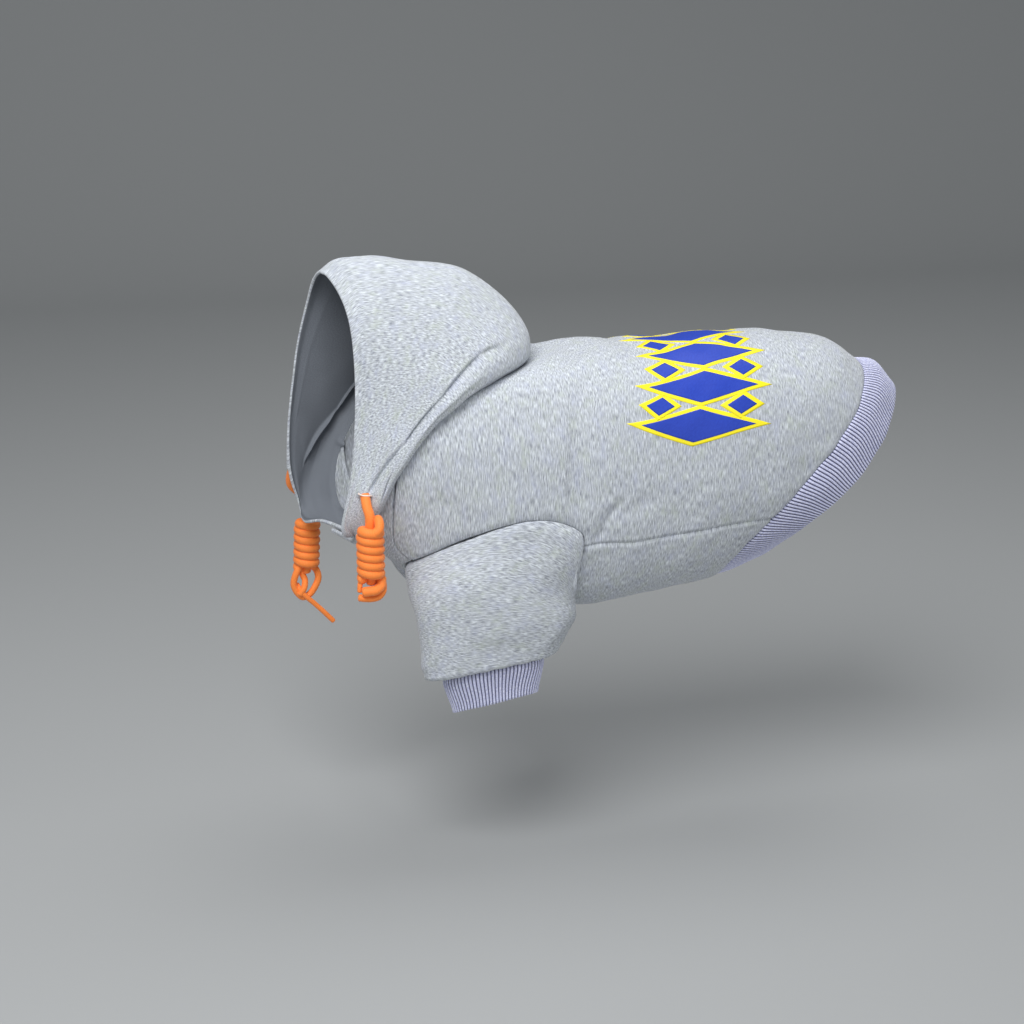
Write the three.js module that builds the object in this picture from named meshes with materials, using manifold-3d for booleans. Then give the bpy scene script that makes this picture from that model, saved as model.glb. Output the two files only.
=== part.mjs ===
import * as THREE from "three";
import Module from "manifold-3d";

// A hoodie for a small dog, in the form it has on the wearer.
// Millimetres. X runs from the head to the tail, Z is up, -Y is the wearer's left.
// The origin is at the withers, on the inside of the back.

// Sizes of the body
const BODY_LENGTH = 242;
const BODY_DEPTH = 190;
const CHEST_WIDTH = 132;

// Sizes of the hood, counted from the neck seam
const HOOD_LENGTH = 134;
const HOOD_HEIGHT = 75;
const HOOD_SPREAD = 20;

// Sizes of the ribbed bands
const HEM_RIB = 32;
const CUFF_RIB = 25;
const RIB_PITCH = 9;
const RIB_RISE = 0.9;

// Sizes of the sleeves, counted from the middle of the armhole
const SLEEVE_LENGTH = 84;
const SLEEVE_WIDTH = 120;
const SLEEVE_SPAN = 52;
const RIGHT_STEP = 16;

// Sizes of the drawcord and its coil knots
const CORD = 6.8;
const TURNS = 6;
const LEFT_DROP = 18;
const RIGHT_DROP = 42;

// Thickness of the cloth, and the gap left at each seam
const FLEECE = 2.2;
const HOOD_CLOTH = 2.4;
const RIB_CLOTH = 2.4;
const SEAM_GAP = 0.5;

// Sizes of an ordinary fold in the cloth
const FOLD_WIDTH = 8;
const FOLD_DEPTH = 1.6;

// Body sections: each joins a point on the back to a point on the belly.
// Columns: place, top X, top Z, bottom X, bottom Z, half width, forward bow, low bow,
// yaw in degrees, egg, squareness, squareness of the lower half
const BODY_SCALE = [
  1, BODY_LENGTH, BODY_DEPTH, BODY_LENGTH, BODY_DEPTH, CHEST_WIDTH,
  BODY_DEPTH, BODY_DEPTH, 1, 1, 1, 1,
];
const BODY = [
  [0.00, -0.116, -0.042, -0.603, -0.663, 0.371, 0.189, 0.000, 16, -0.05, 0.04, 0.10],
  [0.14, 0.008, 0.005, -0.529, -0.747, 0.424, 0.158, 0.000, 11, -0.03, 0.06, 0],
  [0.30, 0.157, 0.011, -0.393, -0.874, 0.477, 0.105, 0.000, 6, 0.00, 0.08, 0],
  [0.46, 0.314, 0.011, -0.198, -0.958, 0.500, 0.053, 0.000, 3, 0.03, 0.10, 0],
  [0.62, 0.475, 0.021, -0.021, -0.984, 0.500, 0.021, 0.000, 0, 0.05, 0.10, 0],
  [0.80, 0.661, 0.011, 0.207, -0.958, 0.485, 0.000, 0.000, 0, 0.05, 0.10, 0],
  [0.92, 0.814, -0.028, 0.355, -0.937, 0.455, 0.010, 0.026, 0, 0.05, 0.08, 0],
  [1.00, 0.902, -0.106, 0.446, -0.911, 0.424, 0.016, 0.050, 0, 0.05, 0.06, 0],
];

// Hem band sections, added to the last section of the body. Same columns.
const BAND_SCALE = [
  1, HEM_RIB, HEM_RIB, HEM_RIB, HEM_RIB, HEM_RIB, HEM_RIB, HEM_RIB, 1, 1, 1, 1,
];
const BAND = [
  [0.0, 0.00, 0.00, 0.00, 0.00, 0.00, 0.00, 0.00, 0, 0, 0, 0],
  [0.5, 0.42, -0.08, 0.50, 0.09, -0.03, -0.09, -0.04, 0, 0, -0.08, 0],
  [1.0, 0.80, -0.50, 0.98, 0.28, -0.13, -0.19, -0.09, 0, 0, -0.16, 0],
];

// Hood sections, added to the first section of the body. Same columns.
const HOOD_SCALE = [
  1, HOOD_LENGTH, HOOD_HEIGHT, HOOD_LENGTH, HOOD_HEIGHT, HOOD_SPREAD,
  HOOD_HEIGHT, HOOD_HEIGHT, 1, 1, 1, 1,
];
const HOOD = [
  [0.00, 0.000, 0.000, 0.000, 0.000, 0.00, 0.000, 0.000, 0, 0.00, 0.00, 0.00],
  [0.08, 0.034, 0.110, -0.014, -0.012, 0.27, -0.004, 0.000, 0, 0.00, 0.00, 0.02],
  [0.15, 0.028, 0.260, -0.030, -0.026, 0.38, -0.015, 0.020, 0, -0.05, 0.00, 0.06],
  [0.25, -0.030, 0.453, -0.043, -0.034, 0.35, -0.053, 0.040, 1, -0.10, -0.01, 0.14],
  [0.38, -0.134, 0.667, -0.054, -0.037, 0.22, -0.120, 0.070, 1, -0.15, -0.02, 0.22],
  [0.53, -0.306, 0.853, -0.062, -0.033, 0.06, -0.187, 0.107, 2, -0.17, -0.02, 0.30],
  [0.70, -0.530, 0.960, -0.069, -0.024, -0.10, -0.253, 0.147, 3, -0.17, -0.02, 0.36],
  [0.85, -0.784, 1.000, -0.075, -0.013, -0.20, -0.320, 0.190, 4, -0.15, -0.02, 0.43],
  [0.95, -0.940, 0.973, -0.080, -0.002, -0.25, -0.360, 0.215, 4, -0.13, -0.02, 0.54],
  [1.00, -1.000, 0.893, -0.083, 0.004, -0.30, -0.373, 0.225, 4, -0.10, -0.02, 0.60],
];

// Seam between the back and the chest panel. Columns: place, angle from the spine
const SIDE_SEAM = [
  [0.00, 115], [0.07, 135], [0.13, 150], [0.20, 152], [0.30, 140], [0.45, 122],
  [0.54, 112], [0.66, 109.5], [0.80, 108], [1.00, 108],
];

// Armhole on the body's surface, closed. Columns: turn, place, angle from the spine
const ARMHOLE = [
  [0, 0.192, 158], [45, 0.262, 127], [90, 0.375, 106], [135, 0.495, 106],
  [180, 0.540, 118], [225, 0.545, 142], [270, 0.410, 158], [315, 0.268, 165],
];

// Sleeve sections below the armhole, as a share of the sleeve's length.
// Columns: place, front X, front Z, rear X, rear Z, outer Y, inner Y, outward tilt
const SLEEVE = [
  [0.42, -0.499, -0.374, 0.430, -0.375, 0.516, -0.445, 0.262],
  [0.72, -0.466, -0.707, 0.426, -0.564, 0.536, -0.426, 0.143],
  [0.90, -0.458, -0.898, 0.359, -0.743, 0.497, -0.388, 0.083],
  [0.97, -0.424, -0.969, 0.309, -0.814, 0.459, -0.349, 0.071],
  [1.00, -0.349, -0.969, 0.251, -0.838, 0.401, -0.311, 0.071],
];

// The sleeve stands off the belly just below the armhole, by a share of its length
const LIFT_PLACE = 0.14;
const LIFT_HEIGHT = 0.065;

// Folds. Columns: place and angle of one end, of the other end, then the width and the
// depth as shares of the fold sizes, and the side (1 left, -1 right, 0 both). A negative
// depth stands out.
const BODY_FOLDS = [
  [0.20, -42, 0.18, 42, 1.00, 1.00, 0],
  [0.55, 110, 0.54, 93, 0.50, 1.12, 1],
  [0.56, 112, 0.60, 98, 0.50, 0.75, -1],
  [0.365, 75, 0.50, 105, 0.62, 0.56, 0],
  [0.03, 60, 0.05, 88, 0.62, 1.00, 0],
  [0.02, 100, 0.10, 104, 0.50, 0.88, 1],
  [0.14, 118, 0.24, 112, 0.88, 0.75, 0],
  [0.50, 150, 0.66, 170, 0.88, 0.75, 0],
];
const HOOD_FOLDS = [
  [0.205, 46, 0.262, 58, 0.42, 1.60, 0],
  [0.262, 58, 0.263, 84, 0.42, 2.10, 0],
  [0.263, 84, 0.345, 102, 0.42, 2.10, 0],
  [0.345, 102, 0.62, 118, 0.42, 1.75, 0],
  [0.16, 62, 0.20, 98, 0.42, -0.88, 0],
  [0.60, 52, 0.52, 76, 1.12, 0.75, 0],
];
const SLEEVE_FOLDS = [
  [0.80, 60, 0.86, 125, 0.88, 1.00, 0],
  [0.90, 20, 0.82, 60, 0.75, 0.75, 0],
  [0.88, 130, 0.78, 175, 0.75, 0.88, 0],
  [0.45, 150, 0.60, 182, 0.88, 0.81, 0],
];

const RAD = Math.PI / 180;
const wasm = await Module();
wasm.setup();

// Values of a table at a place, smooth from row to row.
function curve(rows, at) {
  const x = Math.min(Math.max(at, rows[0][0]), rows[rows.length - 1][0]);
  let i = 0;
  while (i < rows.length - 2 && x > rows[i + 1][0]) i += 1;
  const span = (k) => rows[k + 1][0] - rows[k][0];
  const rise = (k, c) => (rows[k + 1][c] - rows[k][c]) / span(k);
  const slope = (k, c) => {
    if (k === 0) return rise(0, c);
    if (k === rows.length - 1) return rise(k - 1, c);
    return (rise(k - 1, c) * span(k) + rise(k, c) * span(k - 1)) / (span(k - 1) + span(k));
  };
  const h = span(i);
  const t = (x - rows[i][0]) / h;
  const a = 2 * t ** 3 - 3 * t ** 2 + 1;
  const b = (t ** 3 - 2 * t ** 2 + t) * h;
  const d = (t ** 3 - t ** 2) * h;
  return rows[i].map((value, c) =>
    a * value + b * slope(i, c) + (1 - a) * rows[i + 1][c] + d * slope(i + 1, c));
}

// Values of a closed table at a turn in degrees.
function loop(rows, turn) {
  const n = rows.length;
  const x = ((((turn / 360) * n) % n) + n) % n;
  const i = Math.floor(x);
  const t = x - i;
  const row = (k) => rows[(i + k + n) % n];
  return rows[0].map((_, c) => {
    const [p, q, r, s] = [row(-1)[c], row(0)[c], row(1)[c], row(2)[c]];
    return 0.5 * (2 * q + (r - p) * t + (2 * p - 5 * q + 4 * r - s) * t * t
      + (3 * q - p - 3 * r + s) * t ** 3);
  });
}

const steps = (from, to, count) =>
  Array.from({ length: count + 1 }, (_, i) => from + ((to - from) * i) / count);
const smooth = (from, to, x) => {
  const t = Math.min(Math.max((x - from) / (to - from), 0), 1);
  return t * t * (3 - 2 * t);
};

// A section's table values, in millimetres.
const bodySection = (at) => curve(BODY, at).map((value, c) => value * BODY_SCALE[c]);

// A section that follows on from an end of the body, shifted across the seam by a gap.
function nextSection(base, rows, scale, at, gap) {
  const row = curve(rows, at).map((value, c) => value * scale[c] + (c ? base[c] : 0));
  const length = Math.hypot(base[1] - base[3], base[2] - base[4]);
  const ahead = [-(base[2] - base[4]) / length * gap, (base[1] - base[3]) / length * gap];
  [1, 3].forEach((c) => { row[c] += ahead[0]; });
  [2, 4].forEach((c) => { row[c] += ahead[1]; });
  return row;
}
const neck = bodySection(0);
const tail = bodySection(1);
const hoodSection = (at) => nextSection(neck, HOOD, HOOD_SCALE, at, SEAM_GAP);
const bandSection = (at) => nextSection(tail, BAND, BAND_SCALE, at, -SEAM_GAP);

// A point on a section. The angle runs from the spine over the left side.
function around(section, degrees) {
  const [, topX, topZ, lowX, lowZ, half, bow, lowBow, yaw, egg, square, squareLow] = section;
  const cos = Math.cos(degrees * RAD);
  const sin = Math.sin(degrees * RAD);
  const dx = topX - lowX;
  const dz = topZ - lowZ;
  const length = Math.hypot(dx, dz);
  const corner = square + (squareLow * (1 - cos)) / 2;
  const along = cos * (1 + corner * sin * sin);
  const out = sin * (1 + corner * cos * cos) * (1 + egg * cos) * half;
  const ahead = sin * sin * (bow - lowBow * cos);
  return new THREE.Vector3(
    (topX + lowX) / 2 + (dx / 2) * along + out * Math.sin(yaw * RAD) - (dz / length) * ahead,
    -out * Math.cos(yaw * RAD),
    (topZ + lowZ) / 2 + (dz / 2) * along + (dx / length) * ahead);
}
const bodyPoint = (at, degrees) => around(bodySection(at), degrees);
// Bends of the opening's edge. Columns: side (1 left, -1 right), angle, width in degrees,
// shift to the tail and upwards as shares of the hood's height
const OPENING = [
  [1, 92, 26, 0.067, 0],
  [1, 127, 13, -0.087, 0],
  [1, 147, 14, 0, 0.133],
  [-1, 130, 13, 0.053, 0],
];
const hoodPoint = (at, degrees) => {
  const point = around(hoodSection(at), degrees);
  const near = HOOD_HEIGHT * smooth(0.62, 1, at);
  OPENING.forEach(([side, angle, width, back, up]) => {
    const share = near * Math.exp(-(((degrees * side - angle) / width) ** 2));
    point.x += back * share;
    point.z += up * share;
  });
  return point;
};
const bandPoint = (at, degrees) => around(bandSection(at), degrees);

// The way out of a surface; hand is 1 or -1 by the order of its two ways.
function outward(surface, at, degrees, hand) {
  const a = surface(at + 1e-3, degrees).sub(surface(at - 1e-3, degrees));
  const b = surface(at, degrees + 0.1).sub(surface(at, degrees - 0.1));
  return b.cross(a).multiplyScalar(hand).normalize();
}

// The way out, evened over a patch where the surface turns tightly.
function evenOutward(surface, at, degrees, hand) {
  const sum = new THREE.Vector3();
  steps(-0.32, 0.32, 8).forEach((shift) => {
    const place = Math.min(Math.max(at + shift, 0), 1);
    steps(-10, 10, 2).forEach((turn) => sum.add(outward(surface, place, degrees + turn, hand)));
  });
  return sum.normalize();
}

// Depth of the folds at a place; metric turns places and degrees into millimetres.
// Where two folds meet, the stronger one holds.
function folded(rows, at, degrees, side, metric) {
  let depth = 0;
  rows.forEach(([at0, turn0, at1, turn1, width, deep, only]) => {
    if (only && only !== side) return;
    const ax = at0 * metric[0];
    const ay = turn0 * metric[1];
    const bx = at1 * metric[0] - ax;
    const by = turn1 * metric[1] - ay;
    const px = at * metric[0] - ax;
    const py = degrees * metric[1] - ay;
    const t = Math.min(Math.max((px * bx + py * by) / (bx * bx + by * by), 0), 1);
    const near = Math.hypot(px - bx * t, py - by * t) / (width * FOLD_WIDTH);
    const fade = Math.min(1, 0.35 + 3 * Math.min(t, 1 - t));
    const here = deep * FOLD_DEPTH * fade * Math.exp(-near * near);
    if (Math.abs(here) > Math.abs(depth)) depth = here;
  });
  return depth;
}

// A closed solid of triangles, turned to face out.
function closedMesh(points, triangles) {
  let volume = 0;
  triangles.forEach(([a, b, c]) => {
    volume += points[a].dot(points[b].clone().cross(points[c]));
  });
  const mesh = new wasm.Mesh({
    numProp: 3,
    vertProperties: new Float32Array(points.flatMap((p) => [p.x, p.y, p.z])),
    triVerts: new Uint32Array(triangles.flatMap(([a, b, c]) => (volume < 0 ? [a, c, b] : [a, b, c]))),
  });
  return new wasm.Manifold(mesh);
}

// A sheet of cloth from an outer and an inner grid, closed along its edges.
function sheet(outer, inner, wraps) {
  const rows = outer.length;
  const columns = outer[0].length;
  const points = [...outer.flat(), ...inner.flat()];
  const triangles = [];
  const quad = (a, b, c, d) => triangles.push([a, b, c], [a, c, d]);
  const id = (layer, i, j) => layer * rows * columns + i * columns + (j % columns);
  const across = wraps ? columns : columns - 1;
  for (let i = 0; i < rows - 1; i += 1) {
    for (let j = 0; j < across; j += 1) {
      quad(id(0, i, j), id(0, i + 1, j), id(0, i + 1, j + 1), id(0, i, j + 1));
      quad(id(1, i, j), id(1, i, j + 1), id(1, i + 1, j + 1), id(1, i + 1, j));
    }
  }
  for (let j = 0; j < across; j += 1) {
    quad(id(0, 0, j), id(0, 0, j + 1), id(1, 0, j + 1), id(1, 0, j));
    quad(id(0, rows - 1, j + 1), id(0, rows - 1, j), id(1, rows - 1, j), id(1, rows - 1, j + 1));
  }
  if (!wraps) {
    for (let i = 0; i < rows - 1; i += 1) {
      quad(id(0, i + 1, 0), id(0, i, 0), id(1, i, 0), id(1, i + 1, 0));
      quad(id(0, i, across), id(0, i + 1, across), id(1, i + 1, across), id(1, i, across));
    }
  }
  return closedMesh(points, triangles);
}

// A tube or other closed form through rings of points, with flat ends.
function lofted(rings) {
  const n = rings[0].length;
  const points = rings.flat();
  const triangles = [];
  for (let i = 0; i < rings.length - 1; i += 1) {
    for (let j = 0; j < n; j += 1) {
      const k = (j + 1) % n;
      triangles.push([i * n + j, i * n + k, (i + 1) * n + k]);
      triangles.push([i * n + j, (i + 1) * n + k, (i + 1) * n + j]);
    }
  }
  [0, rings.length - 1].forEach((i) => {
    const middle = new THREE.Vector3();
    rings[i].forEach((p) => middle.addScaledVector(p, 1 / n));
    points.push(middle);
    for (let j = 0; j < n; j += 1) {
      const pair = [i * n + j, i * n + ((j + 1) % n)];
      triangles.push(i ? [...pair, points.length - 1] : [pair[1], pair[0], points.length - 1]);
    }
  });
  return closedMesh(points, triangles);
}

// A grid of places and angles, moved out of the surface by a rise.
const grid = (places, turnsAt, surface, hand, rise, way = outward) => places.map((at) =>
  turnsAt(at).map((turn) =>
    surface(at, turn).addScaledVector(way(surface, at, turn, hand), rise(at, turn))));

// A panel that runs between two angles, with its folds.
function panel(places, turnsAt, surface, hand, wall, relief, way) {
  return sheet(
    grid(places, turnsAt, surface, hand, relief, way),
    grid(places, turnsAt, surface, hand, (at, turn) => relief(at, turn) - wall, way), false);
}

// Body panels
const BODY_PLACES = [
  0, 0.03, 0.07, 0.12, 0.17, 0.22, 0.28, 0.34, 0.4, 0.46, 0.52, 0.58, 0.64, 0.7, 0.77, 0.84,
  0.9, 0.95, 1,
];
const bodyMetric = [BODY_LENGTH, (CHEST_WIDTH / 2) * RAD];
const fullTurn = (turn) => (turn > 180 ? turn - 360 : turn);
const bodyRelief = (at, turn) => {
  const angle = fullTurn(turn);
  return -folded(BODY_FOLDS, at, Math.abs(angle), angle < 0 ? -1 : 1, bodyMetric);
};
const seamHalf = ((SEAM_GAP / CHEST_WIDTH) / RAD);
const seamAt = (at) => curve(SIDE_SEAM, at)[1];
const backTurns = (at) => steps(seamHalf - seamAt(at), seamAt(at) - seamHalf, 24);
const chestTurns = (at) => steps(seamAt(at) + seamHalf, 360 - seamAt(at) - seamHalf, 12);
const backWhole = panel(BODY_PLACES, backTurns, bodyPoint, 1, FLEECE, bodyRelief);
const chestWhole = panel(BODY_PLACES, chestTurns, bodyPoint, 1, FLEECE, bodyRelief);

// Armholes, cut square to the cloth
const SLEEVE_SIDES = 24;
const sleeveTurns = steps(0, 360, SLEEVE_SIDES).slice(0, SLEEVE_SIDES);
const armholePoint = (turn, side) => {
  const [, at, angle] = loop(ARMHOLE, turn);
  return bodyPoint(at, angle * side);
};
const armholeOut = (turn, side) => {
  const [, at, angle] = loop(ARMHOLE, turn);
  return outward(bodyPoint, at, angle * side, 1);
};
const armholeMiddles = [1, -1].map((side) => {
  const middle = new THREE.Vector3();
  sleeveTurns.forEach((turn) => middle.addScaledVector(armholePoint(turn, side), 1 / SLEEVE_SIDES));
  return middle;
});
const armholeMiddle = (side) => armholeMiddles[side > 0 ? 0 : 1].clone();
const PLUG_REACH = 0.2 * CHEST_WIDTH;
const armholePlug = (side) => lofted([PLUG_REACH, 0, -PLUG_REACH / 2].map((rise) =>
  sleeveTurns.map((turn) => armholePoint(turn, side).addScaledVector(armholeOut(turn, side), rise))));
const plugs = [1, -1].map(armholePlug);
const cutArmholes = (solid) => solid.subtract(plugs[0]).subtract(plugs[1]);

// Sleeves, from the armhole to the cuff seam
function sleeveRow(row, turn, side) {
  const [at, frontX, frontZ, rearX, rearZ, outerY, innerY, tilt] = row;
  const middle = armholeMiddle(1);
  const cos = Math.cos(turn * RAD);
  const sin = Math.sin(turn * RAD);
  const along = cos * (1 + 0.08 * sin * sin);
  const out = sin * (1 + 0.08 * cos * cos);
  const x = (frontX + rearX) / 2 + ((frontX - rearX) / 2) * along;
  const y = (outerY + innerY) / 2 + ((outerY - innerY) / 2) * out;
  const z = (frontZ + rearZ) / 2 + ((frontZ - rearZ) / 2) * along + tilt * sin;
  return new THREE.Vector3(
    middle.x + x * SLEEVE_WIDTH + (side < 0 ? RIGHT_STEP * at : 0),
    (middle.y - y * SLEEVE_SPAN) * side,
    middle.z + z * SLEEVE_LENGTH);
}
function sleeveTop(turn, side) {
  const point = armholePoint(turn, side);
  const out = armholeOut(turn, side);
  const inward = armholeMiddle(side).sub(point);
  inward.addScaledVector(out, -inward.dot(out)).normalize();
  return point.addScaledVector(inward, 2 * SEAM_GAP);
}
// The line down the sleeve at one turn, kept once worked out.
const sleeveLines = new Map();
function sleeveLine(turn, side) {
  const key = turn + " " + side;
  if (!sleeveLines.has(key)) {
    const top = sleeveTop(turn, side);
    const rows = SLEEVE.map((row) => [row[0], ...sleeveRow(row, turn, side).toArray()]);
    const next = new THREE.Vector3(...rows[0].slice(1));
    const share = LIFT_PLACE / rows[0][0];
    const lift = LIFT_HEIGHT * SLEEVE_LENGTH * (0.5 - 0.5 * Math.sin(turn * RAD));
    const lifted = top.clone().lerp(next, share).addScaledVector(armholeOut(turn, side), lift);
    sleeveLines.set(key, [[0, ...top.toArray()], [LIFT_PLACE, ...lifted.toArray()], ...rows]);
  }
  return sleeveLines.get(key);
}
function sleevePoint(at, turn, side) {
  const [, x, y, z] = curve(sleeveLine(turn, side), at);
  return new THREE.Vector3(x, y, z);
}
const SLEEVE_PLACES = [0, 0.12, 0.26, 0.42, 0.57, 0.72, 0.82, 0.9, 0.97, 1];
const sleeveMetric = [SLEEVE_LENGTH, (SLEEVE_WIDTH / 2.6) * RAD];
function sleeveSolid(side) {
  const surface = (at, turn) => sleevePoint(at, turn, side);
  const relief = (at, turn) => -folded(SLEEVE_FOLDS, at, turn, side, sleeveMetric);
  const turns = () => sleeveTurns;
  return sheet(
    grid(SLEEVE_PLACES, turns, surface, -side, relief),
    grid(SLEEVE_PLACES, turns, surface, -side, (at, turn) => relief(at, turn) - FLEECE), true);
}

// Cuffs, ribbed, a gap below the sleeve's end
function cuffPoint(at, turn, side) {
  const top = sleevePoint(1, turn, side);
  const middle = new THREE.Vector3();
  [0, 90, 180, 270].forEach((quarter) =>
    middle.addScaledVector(sleevePoint(1, quarter, side), 0.25));
  const narrow = 0.16 * smooth(0, 1, at);
  return new THREE.Vector3(
    top.x + (middle.x - top.x) * narrow + 0.04 * CUFF_RIB * at,
    top.y + (middle.y - top.y) * narrow,
    top.z - SEAM_GAP - CUFF_RIB * at);
}
function ribbed(surface, hand, places, perimeter, wall) {
  const ribs = Math.max(8, Math.round(perimeter / RIB_PITCH));
  const turns = steps(0, 360, 2 * ribs).slice(0, 2 * ribs);
  const rise = (at, turn) => (Math.round((turn / 360) * 2 * ribs) % 2 ? -RIB_RISE : 0);
  return sheet(
    grid(places, () => turns, surface, hand, rise),
    grid(places, () => turns, surface, hand, () => -wall), true);
}
function girth(surface, at) {
  const points = steps(0, 360, 48).map((turn) => surface(at, turn));
  return points.slice(1).reduce((sum, p, i) => sum + p.distanceTo(points[i]), 0);
}
function cuffSolid(side) {
  const surface = (at, turn) => cuffPoint(at, turn, side);
  return ribbed(surface, -side, [0, 0.5, 1], girth(surface, 0.5), RIB_CLOTH);
}
const bandSolid = ribbed(bandPoint, 1, [0, 0.25, 0.55, 1], girth(bandPoint, 0.5), RIB_CLOTH);

// Hood halves, joined along the ridge; the left one laps over the right one at the throat
const HOOD_PLACES = [
  0, 0.05, 0.1, 0.15, 0.2, 0.25, 0.3, 0.36, 0.43, 0.52, 0.62, 0.72, 0.82, 0.91, 1,
];
const LAP = 6;
const hoodMetric = [HOOD_LENGTH * 0.72, (CHEST_WIDTH / 2.4) * RAD];
const ridgeHalf = ((SEAM_GAP / CHEST_WIDTH) / RAD) * 1.3;
function hoodSolid(side) {
  const turns = steps(ridgeHalf, 180 + LAP, 16).map((turn) => turn * side);
  const relief = (at, turn) => {
    const angle = Math.abs(turn);
    const tuck = side < 0 ? (HOOD_CLOTH + 3 * SEAM_GAP) * smooth(144, 164, angle) : 0;
    return -folded(HOOD_FOLDS, at, angle, side, hoodMetric) - tuck;
  };
  return panel(HOOD_PLACES, () => turns, hoodPoint, -1, HOOD_CLOTH, relief, evenOutward);
}

// Drawcord: a short run out of the hood's casing, then a coil knot. The knot leans to the
// tail and the cord bends that way in between, both in cord diameters.
const EXITS = [
  { side: 1, at: 0.66, turn: 118, lean: 0.4, bend: 0, drop: LEFT_DROP },
  { side: -1, at: 0.84, turn: 118, lean: 1.5, bend: -0.9, drop: RIGHT_DROP },
];
function tubeAlong(points, sides) {
  const path = new THREE.CatmullRomCurve3(points, false, "centripetal");
  const profile = new THREE.Shape();
  steps(0, 360, sides).slice(0, sides).forEach((turn, i) => {
    const x = (CORD / 2) * Math.cos(turn * RAD);
    const y = (CORD / 2) * Math.sin(turn * RAD);
    if (i) profile.lineTo(x, y);
    else profile.moveTo(x, y);
  });
  const solid = new THREE.ExtrudeGeometry(profile, {
    steps: 3 * (points.length - 1), bevelEnabled: false, extrudePath: path,
  });
  return fromGeometry(solid);
}
function fromGeometry(geometry) {
  const raw = geometry.index ? geometry.toNonIndexed() : geometry;
  const place = raw.getAttribute("position");
  const seen = new Map();
  const points = [];
  const ids = [];
  for (let i = 0; i < place.count; i += 1) {
    const p = new THREE.Vector3().fromBufferAttribute(place, i);
    const key = [p.x, p.y, p.z].map((v) => Math.round(v * 1e4)).join();
    if (!seen.has(key)) {
      seen.set(key, points.length);
      points.push(p);
    }
    ids.push(seen.get(key));
  }
  const triangles = [];
  for (let i = 0; i < ids.length; i += 3) {
    const [a, b, c] = ids.slice(i, i + 3);
    if (a !== b && b !== c && a !== c) triangles.push([a, b, c]);
  }
  return closedMesh(points, triangles);
}
const COIL_RADIUS = 1.42 * CORD;
const COIL_LENGTH = TURNS * CORD;
const exitPoint = ({ side, at, turn }) => hoodPoint(at, turn * side)
  .addScaledVector(outward(hoodPoint, at, turn * side, -1), SEAM_GAP + CORD / 2);
function knotTop(exit) {
  const out = outward(hoodPoint, exit.at, exit.turn * exit.side, -1);
  const clear = COIL_RADIUS - CORD / 2 + 2 * SEAM_GAP;
  return exitPoint(exit).add(new THREE.Vector3(exit.lean * CORD, out.y * clear, -exit.drop));
}
function cordSolid(exit) {
  const start = exitPoint(exit);
  const end = knotTop(exit);
  end.z += SEAM_GAP;
  const above = end.clone();
  above.z += 0.3 * exit.drop;
  const middle = start.clone().lerp(above, 0.5);
  middle.x += exit.bend * CORD;
  return tubeAlong([start, middle, above, end], 8);
}
// The knot hangs down from its top: a ridged coil, and the ends below it.
function knotSolid(exit) {
  const top = knotTop(exit);
  const rings = [];
  const sides = 10;
  const ring = (z, radius) => steps(0, 360, sides).slice(0, sides).map((turn) =>
    new THREE.Vector3(radius * Math.cos(turn * RAD), radius * Math.sin(turn * RAD), z).add(top));
  rings.push(ring(0, COIL_RADIUS - 0.34 * CORD));
  for (let i = 0; i < TURNS; i += 1) {
    rings.push(ring(-CORD * (i + 0.3), COIL_RADIUS));
    rings.push(ring(-CORD * (i + 0.7), COIL_RADIUS));
    rings.push(ring(-CORD * (i + 1), COIL_RADIUS - 0.16 * CORD));
  }
  const low = -COIL_LENGTH;
  const tails = exit.side > 0
    ? [
      [[0.2, 0, low + 0.6 * CORD], [-0.3, 0, low - 0.35 * CORD], [-1.3, 0, low - 0.8 * CORD]],
      [[1, 0, low + 0.6 * CORD], [1, 0, low - 0.7 * CORD], [0.2, 0, low - 1.6 * CORD],
        [-1.6, 0, low - 1.8 * CORD]],
    ]
    : [
      [[-0.8, 0, low + 0.6 * CORD], [-1.4, 0, low - 1.2 * CORD], [-1, 0, low - 2.7 * CORD],
        [-0.1, 0, low - 2.9 * CORD], [0.75, 0, low - 1.6 * CORD], [0.6, 0, low + 0.6 * CORD]],
      [[-0.1, -0.6, low - 2.9 * CORD], [1.1, -0.6, low - 4.3 * CORD], [2.4, -0.6, low - 5.9 * CORD]],
    ];
  let knot = lofted(rings);
  tails.forEach((points) => {
    const path = points.map(([x, y, z]) => new THREE.Vector3(x * CORD, y * CORD, z).add(top));
    knot = knot.add(tubeAlong(path, 8));
  });
  return knot;
}

// Named pieces
const group = new THREE.Group();
group.name = "hoodie";
const LOOKS = {
  fleece: { color: 0xbcc0c6, roughness: 0.95 },
  rib: { color: 0x9a9cc4, roughness: 0.92 },
  cord: { color: 0xff7a2c, roughness: 0.7 },
};
function add(name, solid, look) {
  const mesh = solid.getMesh();
  const count = mesh.numVert;
  const places = new Float32Array(count * 3);
  for (let i = 0; i < count; i += 1) {
    for (let c = 0; c < 3; c += 1) places[i * 3 + c] = mesh.vertProperties[i * mesh.numProp + c];
  }
  const geometry = new THREE.BufferGeometry();
  geometry.setAttribute("position", new THREE.BufferAttribute(places, 3));
  geometry.setIndex(new THREE.BufferAttribute(new Uint32Array(mesh.triVerts), 1));
  geometry.computeVertexNormals();
  const piece = new THREE.Mesh(geometry, new THREE.MeshStandardMaterial(LOOKS[look]));
  piece.name = name;
  group.add(piece);
}
add("back_panel", cutArmholes(backWhole), "fleece");
add("chest_panel", cutArmholes(chestWhole), "fleece");
add("hem_band", bandSolid, "rib");
add("hood_left", hoodSolid(1), "fleece");
add("hood_right", hoodSolid(-1), "fleece");
add("left_sleeve", sleeveSolid(1), "fleece");
add("right_sleeve", sleeveSolid(-1), "fleece");
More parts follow.
